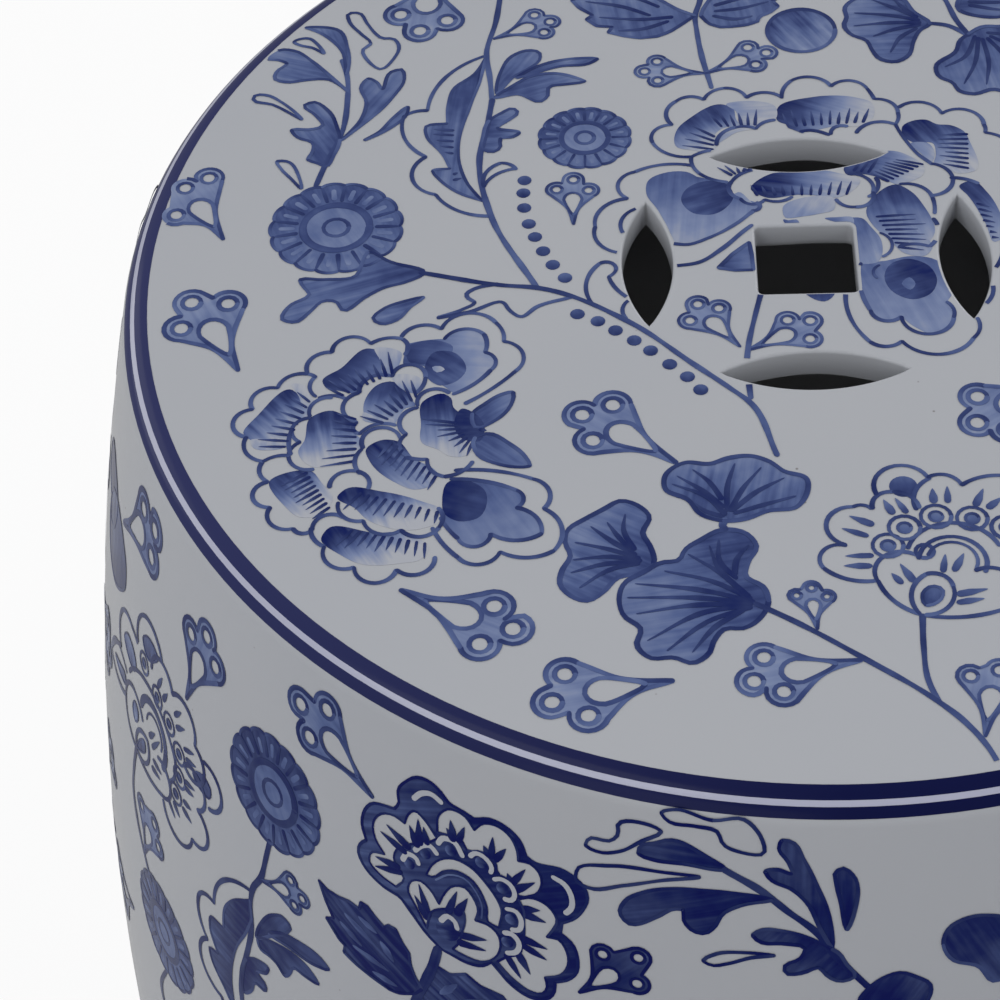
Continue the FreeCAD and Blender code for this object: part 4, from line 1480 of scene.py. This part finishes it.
def reckoned(tree, operation, one, two):
    """The outcome of a sum, or another operation, on two values or outputs of nodes."""
    node = add_node(tree, "ShaderNodeMath", {"operation": operation})
    for socket, value in zip(node.inputs, (one, two)):
        if isinstance(value, float):
            socket.default_value = value
        else:
            tree.links.new(value, socket)
    return node.outputs[0]


flow = add_node(tree, "ShaderNodeAttribute", {"attribute_name": "flow"}).outputs["Vector"]
tones = add_node(tree, "ShaderNodeAttribute", {"attribute_name": "tones"}).outputs["Vector"]
flow_parts = add_node(tree, "ShaderNodeSeparateXYZ", {}, {"Vector": flow}).outputs
tone_parts = add_node(tree, "ShaderNodeSeparateXYZ", {}, {"Vector": tones}).outputs
eased = add_node(tree, "ShaderNodeMapRange", {"interpolation_type": "SMOOTHSTEP"}, {"Value": flow_parts["X"]})
ends = {"Value": eased.outputs["Result"], "To Min": tone_parts["X"], "To Max": tone_parts["Y"]}
base_tone = add_node(tree, "ShaderNodeMapRange", {}, ends)
hair = add_node(tree, "ShaderNodeVectorMath", {"operation": "MULTIPLY"}, {"Vector": flow})
hair.inputs[1].default_value = (1.1, 1 / STREAK_SPACING, 1.0)
fine = {"Scale": 1.0, "Detail": 2.0}
streaks = add_node(tree, "ShaderNodeTexNoise", fine, {"Vector": hair.outputs["Vector"]})
place = add_node(tree, "ShaderNodeTexCoord").outputs["Object"]
patchy = {"Scale": 1 / (POOL_SIZE * MM), "Detail": 2.0}
pooling = add_node(tree, "ShaderNodeTexNoise", patchy, {"Vector": place})
wander = {"To Min": -POOL_SWING, "To Max": POOL_SWING}
pool = add_node(tree, "ShaderNodeMapRange", wander, {"Value": pooling.outputs["Fac"]})
uneven = reckoned(tree, "SUBTRACT", streaks.outputs["Fac"], 0.5)
swing = reckoned(tree, "MULTIPLY", uneven, tone_parts["Z"])
tone = reckoned(tree, "ADD", base_tone.outputs["Result"], swing)
tone = reckoned(tree, "ADD", tone, pool.outputs["Result"])
blues = add_node(tree, "ShaderNodeValToRGB", {}, {"Fac": tone})
while len(blues.color_ramp.elements) < len(COBALT_TONES):
    blues.color_ramp.elements.new(0.5)
for element, (at, code) in zip(blues.color_ramp.elements, COBALT_TONES):
    element.position = at
for element, (at, code) in zip(blues.color_ramp.elements, COBALT_TONES):
    element.color = linear_colour(code)
tree.links.new(blues.outputs["Color"], shader.inputs["Base Color"])
under_glaze(shader, 0.5)

# The seat's cobalt is painted lighter, as painted light on its upturned top.
use_ground("seat", shade=0.11)
seat_flowers()
close_layers("seat_painting")


# Painted wall
# The same flowers run round the wall in four panels, between the bands at the seat and the foot.
# The photograph shows the top of the front panel and its left side. The rest carries on in the same
# way, as a guess, and keeps clear of the hand-holds.
PANELS = (-125, -35, 55, 145)


def wall_leaf(*numbers, dark=0.12, pale=0.32, **how):
    """A leaf as dark as those on the wall."""
    leaf(*numbers, dark=dark, pale=pale, **how)


def serrated_leaf(*numbers, streaks=()):
    """A dark toothed leaf with paler streaks of the brush along it."""
    points = pairs(numbers)
    line = []
    for one, two in zip(points, points[1:] + points[:1]):
        line += [one, between(one, two, 0.5)]
    shape(line, width=0.7, toward=150, dark=0.12, pale=0.3, streak=0.8)
    ends = pairs(streaks)
    for start, end in zip(ends[::2], ends[1::2]):
        stroke([start, end], width=1.9, start=0.4, end=0.3, tones=(0.5, 0.36, 0.5), layer="touches")


def left_lotus():
    """Lotus seen from the side, in outline, near the left edge of the front panel."""
    for width, *numbers in (
        (1.1, 82.4, 63.5, 5.5, 79.4, 49.8, 0.2, 77.8, 50.5), (1.1, 77.7, 49.7, 7.9, 72.4, 42.8),
        (1.1, 74.4, 49, 5, 70.3, 46.3, 4.7, 66.3, 51.3, 6.4, 67.8, 60.4, 6.2, 65.5, 68, 5.3, 66.2, 78.7,
         5.7, 71.2, 80.2),
        (1.1, 64.9, 52.5, 5.9, 63.9, 63.6), (1.1, 79.5, 63.5, 7.8, 69.3, 63, 1.2, 70, 71),
        (1.9, 76.2, 64.8, 6.2, 71, 65, 0.5, 71.4, 71), (0.7, 74.9, 65.5, 5, 71.8, 67),
        (1.1, 82.3, 63.6, -1.2, 86.2, 75.4), (1.1, 86.2, 75.4, -1.7, 80.2, 73),
        (0.7, 80.2, 66, -4.8, 86.2, 75.4), (1.1, 80.3, 70.5, 4.2, 75.8, 68.5),
        (1.1, 80.2, 70, -3.4, 77.2, 80.8), (1.1, 77.2, 80.8, -1.3, 71.3, 79.2, -5.3, 72.4, 70.3),
        (1.1, 77, 80.8, 3.3, 74.6, 71.4, 3.5, 76.6, 80.8),
    ):
        scallops(*numbers, width=width)
    for toward, dark, pale, *numbers in (
        (90, 0.15, 0.35, 76.9, 79.8, 76.3, 75.6, 75.2, 73.4, 75, 75.4, 76, 78.6),
        (90, 0.3, 0.55, 81.4, 57.8, 80.3, 54.6, 78.6, 55, 77.8, 57.6, 78.2, 60, 80, 60.2),
        (90, 0.2, 0.4, 76.6, 46, 75.8, 43.4, 74.2, 42.4, 73.2, 43.4, 74, 46.4, 75.4, 48.6),
        (0, 0.15, 0.3, 64.6, 56.4, 63.8, 57.6, 63.8, 60.4, 65.2, 61.2, 66.4, 59.6),
        (-90, 0.3, 0.55, 78.3, 71, 77.7, 67.8, 77, 68.6, 77, 72, 77.6, 73.4),
        (180, 0.3, 0.6, 84.4, 71.8, 82.4, 69.4, 80.6, 68.2, 80.4, 70, 82, 71.8),
    ):
        wall_leaf(*numbers, width=0.5, toward=toward, dark=dark, pale=pale)
    for x, y in pairs((76, 51.8, 73, 54, 70.6, 55.6, 68.7, 59.6, 68.5, 66, 69, 72.2)):
        outline(ring_line(x, y, 2.6), width=0.7)
        shape(ring_line(x, y, 1.092), width=0.5, toward=90, dark=0.2, pale=0.4, streak=0.1)
    dash_pairs(
        0.15, (73, 51, 72.3, 46.8, 71.9, 52, 71, 47.6), (69.8, 51, 68.8, 48, 69.4, 53.6, 67.7, 50.2),
        (68, 56.2, 66.4, 54, 67.6, 58.2, 65.9, 56.6), (67.6, 64.6, 65.9, 63.6, 67.6, 66.4, 66.2, 65.8),
        (67.8, 71, 66.2, 70.4, 67.9, 73.2, 66.2, 74.3), (73.4, 73.6, 71.5, 73.5, 73.6, 76.4, 71.4, 75.6),
        (74.3, 69, 73, 64.8, 73.6, 70.6, 72.3, 65.6), (69.4, 75.4, 68, 78, 70.4, 77, 68.8, 80.2))
    lines((77.2, 81, 77.7, 88, 77.9, 97, 77.3, 102, 75.4, 110, 73, 118), width=1.3)


def cornered(*runs):
    """A closed line on the wall with a corner wherever one run ends and the next begins."""
    line = []
    last = runs[-1][-2:]
    for run in runs:
        line += curve(*last, *run)[:-1]
        last = run[-2:]
    return line


def front_lotus():
    """The fuller lotus of the front. Its petals are left white in a dark ground, with spiky marks."""
    ground_line = cornered(
        (43.9, 23),
        (44.1, 19.9, 43.4, 16.7, 42.6, 14.7, 41.5, 14.2, 40.5, 15.3, 39.7, 17.1, 38.5, 17.6, 37.5, 18.3),
        (36.4, 16.9, 35.1, 17.3, 33.9, 19.3, 33.3, 22.6),
        (32.6, 23.4, 31.7, 23.3, 30.7, 23, 29.6, 24, 28.8, 25.9, 28.5, 28.3, 28.8, 31.3, 29.4, 34, 30.3, 36),
        (30.4, 38.5), (29.5, 40.3, 29, 44.1, 29.1, 47.7, 29.7, 50, 30.6, 51.4),
        (30.7, 54.5, 31.2, 56.6, 32.3, 57.5, 33.8, 56.2, 35.1, 53.1, 35.6, 51.9),
        (36.3, 53.9, 37.5, 54.7, 38.9, 54.3, 39.6, 54.2), (41, 51.7, 42.2, 48.6, 43.3, 45.9),
        (45.1, 45.4, 46.6, 43.4, 47.3, 40.3, 47.1, 38, 46.6, 36.4),
        (47.1, 33, 46.9, 29, 46.2, 26.3, 45.3, 25.4, 44.3, 24.8))
    left_petals = cornered(
        (45.2, 43, 46.2, 41.3, 46.1, 38.7, 44.9, 37.2),
        (45.8, 34.7, 46.1, 31.3, 45.4, 27.7, 44.3, 26.5, 43.3, 27),
        (43.1, 24.6, 42.5, 22.7, 41.7, 23.6, 40.9, 25.6, 40.5, 26.8),
        (41.2, 28.7, 42.1, 30.1, 43.1, 32.3, 44, 35.2, 44, 37.7, 43.4, 39.5, 43.1, 40.4, 43.7, 43.8))
    top_petals = cornered(
        (40.5, 21.2, 39.6, 18.4, 38.3, 18.7, 37.5, 20.9),
        (36.8, 18.5, 35.7, 17.9, 34.6, 19.3, 34, 22.2, 33.9, 24.3),
        (33, 24, 32.2, 25.6, 32, 27.9, 32.3, 30.8),
        (33.7, 32.6, 34.2, 31.6, 34.5, 29.6, 35.4, 29.1, 35.6, 26.8, 36.8, 25.3, 38, 26.3, 38.4, 24.7, 40,
         24.9, 40.5, 25.2))
    right_petals = cornered(
        (32.7, 32.1, 31.5, 32.7, 30.7, 35.7, 31, 38.4, 31.4, 40.5),
        (30.5, 40.3, 29.9, 42.4, 29.7, 45.7, 30.2, 49, 31.4, 51),
        (31.2, 53.4, 31.6, 55.6, 32.4, 55.9, 33.7, 54.4, 35.1, 51.2),
        (34.4, 49.1, 33.4, 47.1, 33.2, 43.8, 33.1, 41.1, 33.2, 38.6, 33.2, 36.2, 33.7, 33.5))
    crescent = cornered(
        (40.8, 33.9, 40, 31.2, 39, 29.8, 37.6, 30.1, 36.4, 32.3, 35.4, 35.3, 35, 37.3, 35.1, 42.3),
        (36, 41.8, 36.1, 38.7, 36.6, 35.5, 37.6, 32.9, 38.7, 32.5, 39.8, 34, 40.7, 36.7, 41.2, 36.9))
    heart = cornered(
        (41.9, 46.3, 42.7, 42.8, 42.4, 40.2, 41.7, 39.1, 40.8, 40.1, 40, 42.7),
        (39.6, 39.4, 38.9, 36.5, 37.9, 35.7, 37.2, 37.5, 36.8, 40, 37, 42.8),
        (35.9, 42.7, 35.1, 44.3, 34.9, 47, 35.3, 50.4, 36.3, 52.8, 37.5, 53.1, 38.7, 52.7),
        (38.2, 50.3, 38, 47.3, 37.8, 43.9, 38, 41.6, 39.1, 42.7, 39.9, 43.8, 40.6, 45.6, 40.8, 47.8, 40.9,
         50.4))
    whites = (left_petals, top_petals, right_petals, crescent, heart)
    wash(ground_line, toward=205, dark=0.12, pale=0.42, streak=0.5, holes=whites)
    outline(ground_line, width=0.7, tones=(0.1, 0.2, 0.2))
    for line in whites:
        outline(line, width=0.5, tones=(0.1, 0.25, 0.3))
    marks = pairs((
        43.4, 39.5, 45.7, 41.6, 43.6, 38.5, 45.7, 39.1, 43.1, 33.9, 45.4, 32.1, 42.8, 32.3, 44.9, 29.6,
        42.1, 30.8, 42.9, 26.8, 41.9, 30, 42.2, 24.3, 41.3, 29, 41.7, 25.5, 39.1, 25.2, 39.8, 23.2, 39.1,
        24.9, 39.5, 20.9, 38.7, 24.9, 38.3, 21.1, 36.2, 25.6, 36.7, 23.6, 36, 25.6, 36, 20.8, 35.7, 26.1,
        34.9, 22.4, 34.4, 29.6, 34.7, 28.1, 34.3, 30.3, 33.3, 25.7, 34.1, 31.7, 32.5, 28.1, 33.4, 35.5, 32,
        34.5, 33.3, 36.6, 31.5, 37, 33.2, 42.9, 31.3, 43.6, 33.2, 44.6, 31.3, 46.4, 33.6, 46.8, 32.5, 51.5,
        34.4, 48.6, 33.2, 53.4, 40.8, 46.9, 41.8, 40.1, 40.9, 47.8, 42.1, 43.5, 39.2, 43.6, 38.6, 37.5,
        38.5, 43.1, 37.7, 38.1, 38.1, 48.2, 36, 46.7, 38.2, 50.2, 36, 49.5))
    for start, end in zip(marks[::2], marks[1::2]):
        stroke([start, end], width=1.7, end=0.15, tones=(0.1, 0.22, 0.3))
    for x, y in pairs((42.7, 36.3, 41.4, 31.8, 39.3, 28.2, 36.8, 28, 35, 32.3, 34.2, 39.1, 34.4, 45.2)):
        wash(ring_line(x, y, 1.3, 16), toward=200, dark=0.14, pale=0.5, streak=0.5, layer="touches")
    wash(
        ring_line(*pairs((39.2, 48.4))[0], 2.6), toward=200, dark=0.14, pale=0.4, streak=0.7,
        layer="touches")
    lines(
        (43.3, 36.2, 42.9, 34, 42.1, 34.1, 41.9, 35.2), (42.3, 32.3, 41.8, 30.4, 41, 29.3, 40.4, 30.5),
        (40.4, 27.9, 40, 26, 39, 25.8, 38.3, 28.3),
        (37.7, 27.5, 37.3, 26.2, 36.5, 26.4, 35.9, 28.5, 36, 29.5),
        (35.7, 30.8, 35.1, 30, 34.4, 30.6, 34, 32.9, 34.3, 34.5, 34.8, 34.6),
        (34.6, 36.9, 33.9, 36.6, 33.4, 38.5, 33.6, 41.2, 34.1, 41.6),
        (34.7, 43.1, 34.1, 42.7, 33.5, 44.2, 33.7, 47, 34.4, 48),
        (39.8, 46.8, 39.2, 44.7, 38.6, 45.4, 38.4, 47), (42.7, 20, 42, 17.7, 41.2, 16.9, 40.3, 17.8),
        (31.2, 25.4, 30.3, 26.3, 29.7, 28.9, 29.7, 31.8, 30.1, 33.3), width=1.1, tones=(1.15, 1.15, 0.1))
    lines(
        (40.4, 37, 39.2, 34, 38, 33.5, 37, 35.8, 36.5, 38.6, 36.5, 41.6), width=0.4, tones=(0.6, 0.4, 0.3))
    lines((39.9, 54.3, 40.3, 60, 41.2, 68, 42, 76, 41.5, 86), width=2.2, tones=(0.2, 0.3, 0.4))
    serrated_leaf(
        50.9, 54.9, 50, 55.8, 48.9, 55.6, 47.8, 54.9, 46.9, 55.2, 46.8, 53.2, 46.2, 53.2, 45.4, 54.8, 44.6,
        56.1, 44.2, 54.9, 43.6, 54.9, 43, 57.5, 42.3, 59.5, 42.2, 62.1, 41.7, 65.1, 41.1, 67.5, 41.7, 69.8,
        43, 72, 43.8, 72.6, 45.5, 71.9, 47.1, 71, 48.2, 69.9, 48.1, 67.8, 48.7, 67.1, 50, 63.7, 49.3, 62.4,
        50.1, 59.2,
        streaks=(
            48.3, 58.9, 45.2, 62.8, 47.4, 66.3, 44, 67.5, 48.7, 62, 46.5, 65, 44.9, 60.5, 43.6, 64.2, 45.5,
            70.2, 43.2, 70.4, 47, 57.4, 45.2, 59))
    serrated_leaf(
        41.2, 70, 40.5, 65, 40.6, 60.6, 39.9, 59.2, 38.8, 59.8, 37.5, 57.8, 36.4, 59.4, 34.6, 59.8, 33.8,
        62.4, 32, 63, 31.8, 65.6, 30.2, 68, 32.6, 70.6, 33.4, 73, 36, 73.2, 37.4, 75, 39.6, 73.6,
        streaks=(39.6, 66.4, 38.2, 61.6, 38.4, 67.4, 35.8, 62.6, 37.6, 69, 33.6, 65.6, 38.4, 71.4, 34, 69.6),
    )


def wall_sprig():
    """Bent sprig of forked leaves beside the front lotus, ending in a bud."""
    lines((8.4, 42.5, 10.9, 34, 12, 29.4, 14.3, 24, 16, 20, 18.8, 15.6), width=1.5)
    for toward, dark, pale, *numbers in (
        (180, 0.12, 0.32, 18.6, 15.7, 20, 13.2, 22.9, 10.6, 23.8, 11.8, 24.9, 13.2, 25, 15, 24, 15.7, 21.5,
         15.5, 19.5, 15.9),
        (200, 0.12, 0.32, 15.3, 21.8, 19.3, 20.9, 24.3, 23.5, 25.7, 26.4, 26.1, 30, 25.6, 31.8, 23.2, 28.6,
         22.4, 26.6, 21.6, 26.2, 21.5, 28.8, 20.8, 31, 20, 31.3, 19.3, 29.4, 18.8, 26.2, 17.5, 23.6),
        (90, 0.12, 0.32, 11, 32.6, 11.2, 26, 12.2, 18, 13.2, 12, 14, 8.3, 14.8, 7.9, 15, 9.8, 14.3, 12.8,
         14, 15.4, 15, 14.6, 15.9, 15.2, 15.5, 17, 14, 19, 12.8, 22.4, 11.9, 28),
        (90, 0.12, 0.32, 10, 28.4, 10.5, 22, 10.9, 17, 11, 14.8, 10.4, 13.9, 9.8, 15.2, 9.5, 24),
        (230, 0.12, 0.32, 11, 33, 14.5, 28.9, 16, 29, 16.6, 30.4, 16, 32, 14.5, 32, 12.9, 33, 13.2, 35.4,
         14.3, 37.6, 14.2, 39.2, 13, 39, 11.9, 37.6, 11.2, 39.8, 10.4, 41, 9.3, 39.8, 10, 36.5, 10.5, 34),
        (60, 0.06, 0.3, 9, 46.5, 8.4, 43, 6, 39.4, 5, 40.8, 4.1, 42.6, 5, 50, 7, 50.6, 8.6, 49),
    ):
        wall_leaf(*numbers, toward=toward, dark=dark, pale=pale)
    closed_lines(
        (15, 35, 17, 34.8, 19.2, 36, 20, 38, 19.4, 38.8, 18.3, 38, 16.6, 35.9),
        (20.5, 18, 23, 18.2, 27, 19.2, 29.4, 22, 29.4, 24.8, 28.5, 25.6, 26, 23.2, 23, 20),
        (23.4, 8.9, 24.5, 7.9, 26.6, 9.5, 26.5, 11.3, 27, 13.3, 28.7, 14.2, 28.9, 15.8, 28, 16.6, 26.3,
         15.3, 24.8, 12),
        (19.7, 4.8, 22.6, 3.6, 23.5, 4.8, 23, 6.3, 21, 6.6, 19.4, 7.2, 18.9, 10, 17.8, 11.2, 16, 11, 16.2,
         8, 17.6, 3.8))


def wall_feather():
    """The rosette's stem, with a feathered leaf on one side and a palm leaf on the other."""
    lines(
        (56.2, 55, 56.6, 61, 57, 67, 58, 73, 58.2, 78, 58, 84, 58.4, 92, 59.2, 102, 59.2, 112, 58.2, 122,
         56, 132),
        width=1.5)
    scallops(
        58.2, 74, -3.9, 62.9, 89.7, -1.2, 65.1, 93, -1.7, 63.9, 104, -5.5, 62, 118, -1.4, 59, 124, width=1.1,
    )
    blade = curve(58.3, 77, 60.6, 83, 61.5, 88, 61.6, 94)
    blade += curve(61.6, 94, 63.4, 95.3, 63.5, 99, 62.4, 104.6)[1:]
    blade += curve(62.4, 104.6, 63.6, 106, 63.3, 109, 61.4, 114, 60.2, 118)[1:]
    blade += curve(60.2, 118, 60.6, 106, 59.8, 95, 58.7, 88, 58, 82)[1:]
    wash(blade, 180, 0.08, 0.3, 0.5)
    outline(blade, width=0.7)
    for toward, *numbers in (
        (60, 57.4, 86.2, 55.6, 75, 54.4, 73, 53.6, 74, 54, 76.6, 55.3, 80.4),
        (0, 56, 81.6, 54.5, 78, 52.5, 76.3, 50.4, 76.4, 49.6, 77.8, 51, 79.6, 54, 80.5),
        (-20, 57.3, 86.6, 55.5, 83, 51.4, 82.4, 50.6, 84.4, 52, 85.2, 53.2, 85.4, 53.6, 88, 54.2, 90.2, 55,
         88.6, 55.9, 88.2, 57, 88.6),
        (-10, 58.6, 96, 57.2, 92.8, 56, 92.2, 56.2, 94.2, 57.3, 97, 56.3, 98.4, 56.3, 100.4, 57.6, 101,
         57.9, 104, 58.8, 107.6),
    ):
        wall_leaf(*numbers, toward=toward)
    trefoil(57, 68, 53.8, 61, 52.5, 63.5, 53.3, 67)


def wall_top(seen):
    """Upper part of a panel, as the photograph shows it. Seen is true for the front panel."""
    front_lotus()
    wall_sprig()
    # The next trefoil is a deeper blue. Everything drawn after it is painted paler than the lotus and sprig,
    # as painted light on the left side of the wall.
    ground["shade"] -= 0.2
    trefoil(28.8, 52.3, 27.2, 41, 24.6, 39.9, 24.6, 46.5)
    ground["shade"] += 0.3
    wall_feather()
    rosette(56.2, 41.7, 13.9, 17, 6.3, 2.9)
    left_lotus()
    for numbers in (
        (84, 31.5, 78.8, 15.5, 76, 14.8, 76.2, 22.3), (68, 42, 68, 24.4, 65.7, 20.3, 64.2, 25),
        (75.3, 110, 75.8, 95.5, 73, 93.2, 72.2, 98.3), (46.3, 25, 53.9, 14.6, 51.2, 11.4, 52.7, 20.7),
    ):
        trefoil(*numbers)
    rosette(71.5, 125, 14, 17, 6.3, 2.9)
    wall_leaf(
        3.2, 33.5, 2.8, 29.5, 1, 27.5, -0.5, 28.2, -3.2, 33, -2, 43, -0.5, 44.4, 0.6, 40, 2.5, 37.5,
        toward=-60, dark=0.06, pale=0.25)
    if seen:
        wall_leaf(
            90.5, 44, 89.6, 36, 87, 32.6, 84.4, 34.6, 82.2, 40, 82, 45, 83.6, 50, 86, 53.4, 89, 51.6,
            toward=120, dark=0.14, pale=0.4)


def wall_below(with_hold):
    """Lower part of a panel. With_hold leaves room for a hand-hold at the panel's right."""
    layout = [
        (leaf_spray_leaves, 48, 152, -20), (large_peony, 41, 211, 0, 1.05),
        (outlined_lotus, 68, 187, 8, 1.1), (feather_leaf, 28, 122, 205, 1, True), (small_rosette, 9, 112),
        (leaf_spray_leaves, 79, 262, 60, 0.9), (sprig, 58, 266, -15, 1, True),
        (outlined_lotus, 32, 305, -6, 1.2), (large_peony, 78, 340, 20, 1.08),
        (leaf_spray_leaves, 51, 368, 30, 1.05), (feather_leaf, 10, 345, -20, 1.1), (small_rosette, 26, 388),
        (small_rosette, 55, 316),
    ]
    darts = [
        (83, 150, 30), (33, 160, 100), (57, 229, 200), (29, 250, -30), (45, 278, 160), (21, 330, 120),
        (41, 340, 220), (88, 392, 90), (67, 398, 40), (40, 412, -20), (13, 408, 150), (3, 298, 80),
        (18, 280, -90), (1, 80, 180), (88, 118, 240, 0.8), (1, 150, 30), (67, 300, 10), (20, 92, 70, 0.8),
    ]
    if with_hold:
        layout += [(sprig, 21, 180, 80, 0.8)]
        darts += [(25, 222, 0, 0.9), (-1, 272, 30)]
    else:
        layout += [(large_peony, 10, 192, -60, 1, True), (sprig, 11, 264, 170)]
        darts += [(23, 222, 20, 0.8), (-1, 232, 100)]
    for place in layout + [(loose_trefoil, *dart) for dart in darts]:
        placed(*place)
    lines(
        (41.5, 88, 42, 104, 45.5, 120, 47.5, 136), (71.5, 139, 73, 150, 71, 164),
        (66, 210, 64, 228, 60, 244), (39, 247, 37, 264, 33, 282), (31, 330, 30, 352, 27, 375),
        (59, 294, 57, 303), (55, 329, 53, 340, 52, 348),
        (78, 378, 74, 396, 65, 407, 51, 410, 37, 401, 31, 396), (5, 48, 7, 75, 9, 99),
        (9, 125, 15, 145, 27, 162, 35, 174), width=1.3)


# Each panel starts with its cobalt painted darker than the seat's, as painted shade on the upright wall.
for number, middle in enumerate(PANELS):
    use_ground("wall", panel=middle, shade=-0.1)
    wall_top(number == 0)
    wall_below(number in (1, 3))
    close_layers("wall_painting_" + str(number + 1))


# Painted bands
# A wide and a narrow indigo band, laid on with a brush while the stool turns on a wheel, with a
# hair of greyish blue between them. They run round the shoulder, and again round the foot. Their
# colour is painted paler towards the left, as a painted reflection of light on that side.
BAND_LOW, BAND_HIGH = 0.02, 0.06
BAND_STEPS = 6
PAINTED_HAZE_AT = -140
band_paint, tree, shader = new_material("indigo_band_under_glaze")
place = add_node(tree, "ShaderNodeTexCoord").outputs["Object"]
sides = add_node(tree, "ShaderNodeSeparateXYZ", {}, {"Vector": place})
# Painted reflection: the band colour pales from the middle out to the left side.
left = {"From Min": 0.0, "From Max": PAINTED_HAZE_AT * MM}
painted_haze_share = add_node(tree, "ShaderNodeMapRange", left, {"Value": sides.outputs["X"]})
tree.links.new(blend(tree, painted_haze_share.outputs["Result"], "#0F143F", "#33375F"), shader.inputs["Base Color"])
under_glaze(shader, 0.4)
thin_paint, tree, shader = new_material("thin_grey_blue_under_glaze")
shader.inputs["Base Color"].default_value = linear_colour("#AAACC0")
under_glaze(shader, 1.0)
SEAT_BANDS = (
    ("seat_band_wide", 7.1, 31.7, band_paint),
    ("seat_band_gap", 31.7, 41.5, thin_paint),
    ("seat_band_narrow", 41.5, 60.5, band_paint),
)
FOOT_BANDS = (
    ("foot_band_narrow", 23.9, 26.2, band_paint),
    ("foot_band_gap", 22.7, 23.9, thin_paint),
    ("foot_band_wide", 19.7, 22.7, band_paint),
)


def band(name, outer, inner, material):
    """A painted band turned from its two faces, both given from end to end."""
    piece = turned(name, outer + inner[::-1])
    piece.data.materials.append(material)
    smooth(piece, 40)
    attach(piece, "root")


for name, first, last, material in SEAT_BANDS:
    faces = []
    for lift in (BAND_HIGH, BAND_LOW):
        face = []
        for i in range(BAND_STEPS + 1):
            swing = math.radians(first + (last - first) * i / BAND_STEPS)
            reach = SHOULDER_RADIUS + lift
            height = HEIGHT - SHOULDER_RADIUS + reach * math.cos(swing)
            face.append((SEAT_FLAT_RADIUS + reach * math.sin(swing), height))
        faces.append(face)
    band(name, *faces, material)
for name, low, high, material in FOOT_BANDS:
    faces = []
    for lift in (BAND_HIGH, BAND_LOW):
        faces.append([(barrel_radius(height) + lift, height) for height in (high, (low + high) / 2, low)])
    band(name, *faces, material)


# Studio
# A pale floor and even light from wide soft lamps. The floor and the world look white to the
# camera, and dimmer in reflections, because the glaze in the photograph mirrors a dim studio.
WHITE_SHARE = 0.9
MIRRORED_LIGHT = 0.42
AROUND_LIGHT = 0.36


def background_light(tree):
    """Whether a ray shows the background, and the light that it then finds there."""
    ray = add_node(tree, "ShaderNodeLightPath").outputs
    straight = reckoned(tree, "MAXIMUM", ray["Is Camera Ray"], ray["Is Transmission Ray"])
    shows = reckoned(tree, "MAXIMUM", straight, ray["Is Glossy Ray"])
    dimmed = {"To Min": MIRRORED_LIGHT, "To Max": 1.0}
    light = add_node(tree, "ShaderNodeMapRange", dimmed, {"Value": straight})
    return shows, light.outputs["Result"]


bpy.ops.mesh.primitive_plane_add(size=6, location=(0, 0, 0))
floor = bpy.context.object
floor.name = "floor"
floor_paint, tree, shader = new_material("pale_matt_floor")
shader.inputs["Base Color"].default_value = linear_colour("#E6E6E8")
shader.inputs["Roughness"].default_value = 0.9
shows, light = background_light(tree)
bright = add_node(tree, "ShaderNodeEmission", {}, {"Strength": light})
share = reckoned(tree, "MULTIPLY", shows, WHITE_SHARE)
mixed = add_node(tree, "ShaderNodeMixShader", {}, {"Fac": share})
tree.links.new(shader.outputs[0], mixed.inputs[1])
tree.links.new(bright.outputs[0], mixed.inputs[2])
tree.links.new(mixed.outputs[0], tree.nodes["Material Output"].inputs["Surface"])
floor.data.materials.append(floor_paint)

world = bpy.data.worlds.new("studio")
bpy.context.scene.world = world
world.use_nodes = True
tree = world.node_tree
tree.nodes.clear()
shows, light = background_light(tree)
strength = add_node(tree, "ShaderNodeMapRange", {"To Min": AROUND_LIGHT}, {"Value": shows, "To Max": light})
white = {"Color": (1, 1, 1, 1)}
sky = add_node(tree, "ShaderNodeBackground", white, {"Strength": strength.outputs["Result"]})
output = add_node(tree, "ShaderNodeOutputWorld")
tree.links.new(sky.outputs[0], output.inputs["Surface"])

LAMPS_AIM = Vector((0, 0, 0.4))
for place, size, power in (
    ((-0.9, -0.7, 2.0), 1.4, 12.5),
    ((1.1, -0.3, 1.6), 1.2, 7.0),
    ((-0.6, -1.6, 0.9), 1.2, 3.0),
    ((0.8, 1.4, 1.0), 1.2, 8.0),
    ((-1.5, 0.8, 1.0), 1.2, 6.0),
):
    bpy.ops.object.light_add(type="AREA", location=place)
    lamp = bpy.context.object
    lamp.data.shape = "DISK"
    lamp.data.size = size
    lamp.data.energy = power
    toward = LAMPS_AIM - Vector(place)
    lamp.rotation_euler = toward.to_track_quat("-Z", "Y").to_euler()

# Camera
# The photograph looks down on the seat from in front, a little from the left.
CAMERA_PLACE = (-0.03764, -0.45784, 0.87868)
CAMERA_PITCH = 0.820949
CAMERA_YAW = -0.061480
CAMERA_ROLL = -0.066203
CAMERA_LENS = 108.96
FILM_WIDTH = 36
bpy.ops.object.camera_add(location=CAMERA_PLACE)
camera = bpy.context.object
level = math.cos(CAMERA_PITCH)
facing = (math.sin(CAMERA_YAW), math.cos(CAMERA_YAW))
ahead = Vector((facing[0] * level, facing[1] * level, -math.sin(CAMERA_PITCH)))
across = Vector((facing[1], -facing[0], 0))
above = across.cross(ahead)
tilted_across = math.cos(CAMERA_ROLL) * across + math.sin(CAMERA_ROLL) * above
tilted_above = -math.sin(CAMERA_ROLL) * across + math.cos(CAMERA_ROLL) * above
for column, direction in enumerate((tilted_across, tilted_above, -ahead)):
    for axis in range(3):
        camera.matrix_world[axis][column] = direction[axis]
camera.data.lens = CAMERA_LENS
camera.data.sensor_width = FILM_WIDTH
bpy.context.scene.camera = camera
bpy.context.scene.view_settings.view_transform = "Standard"
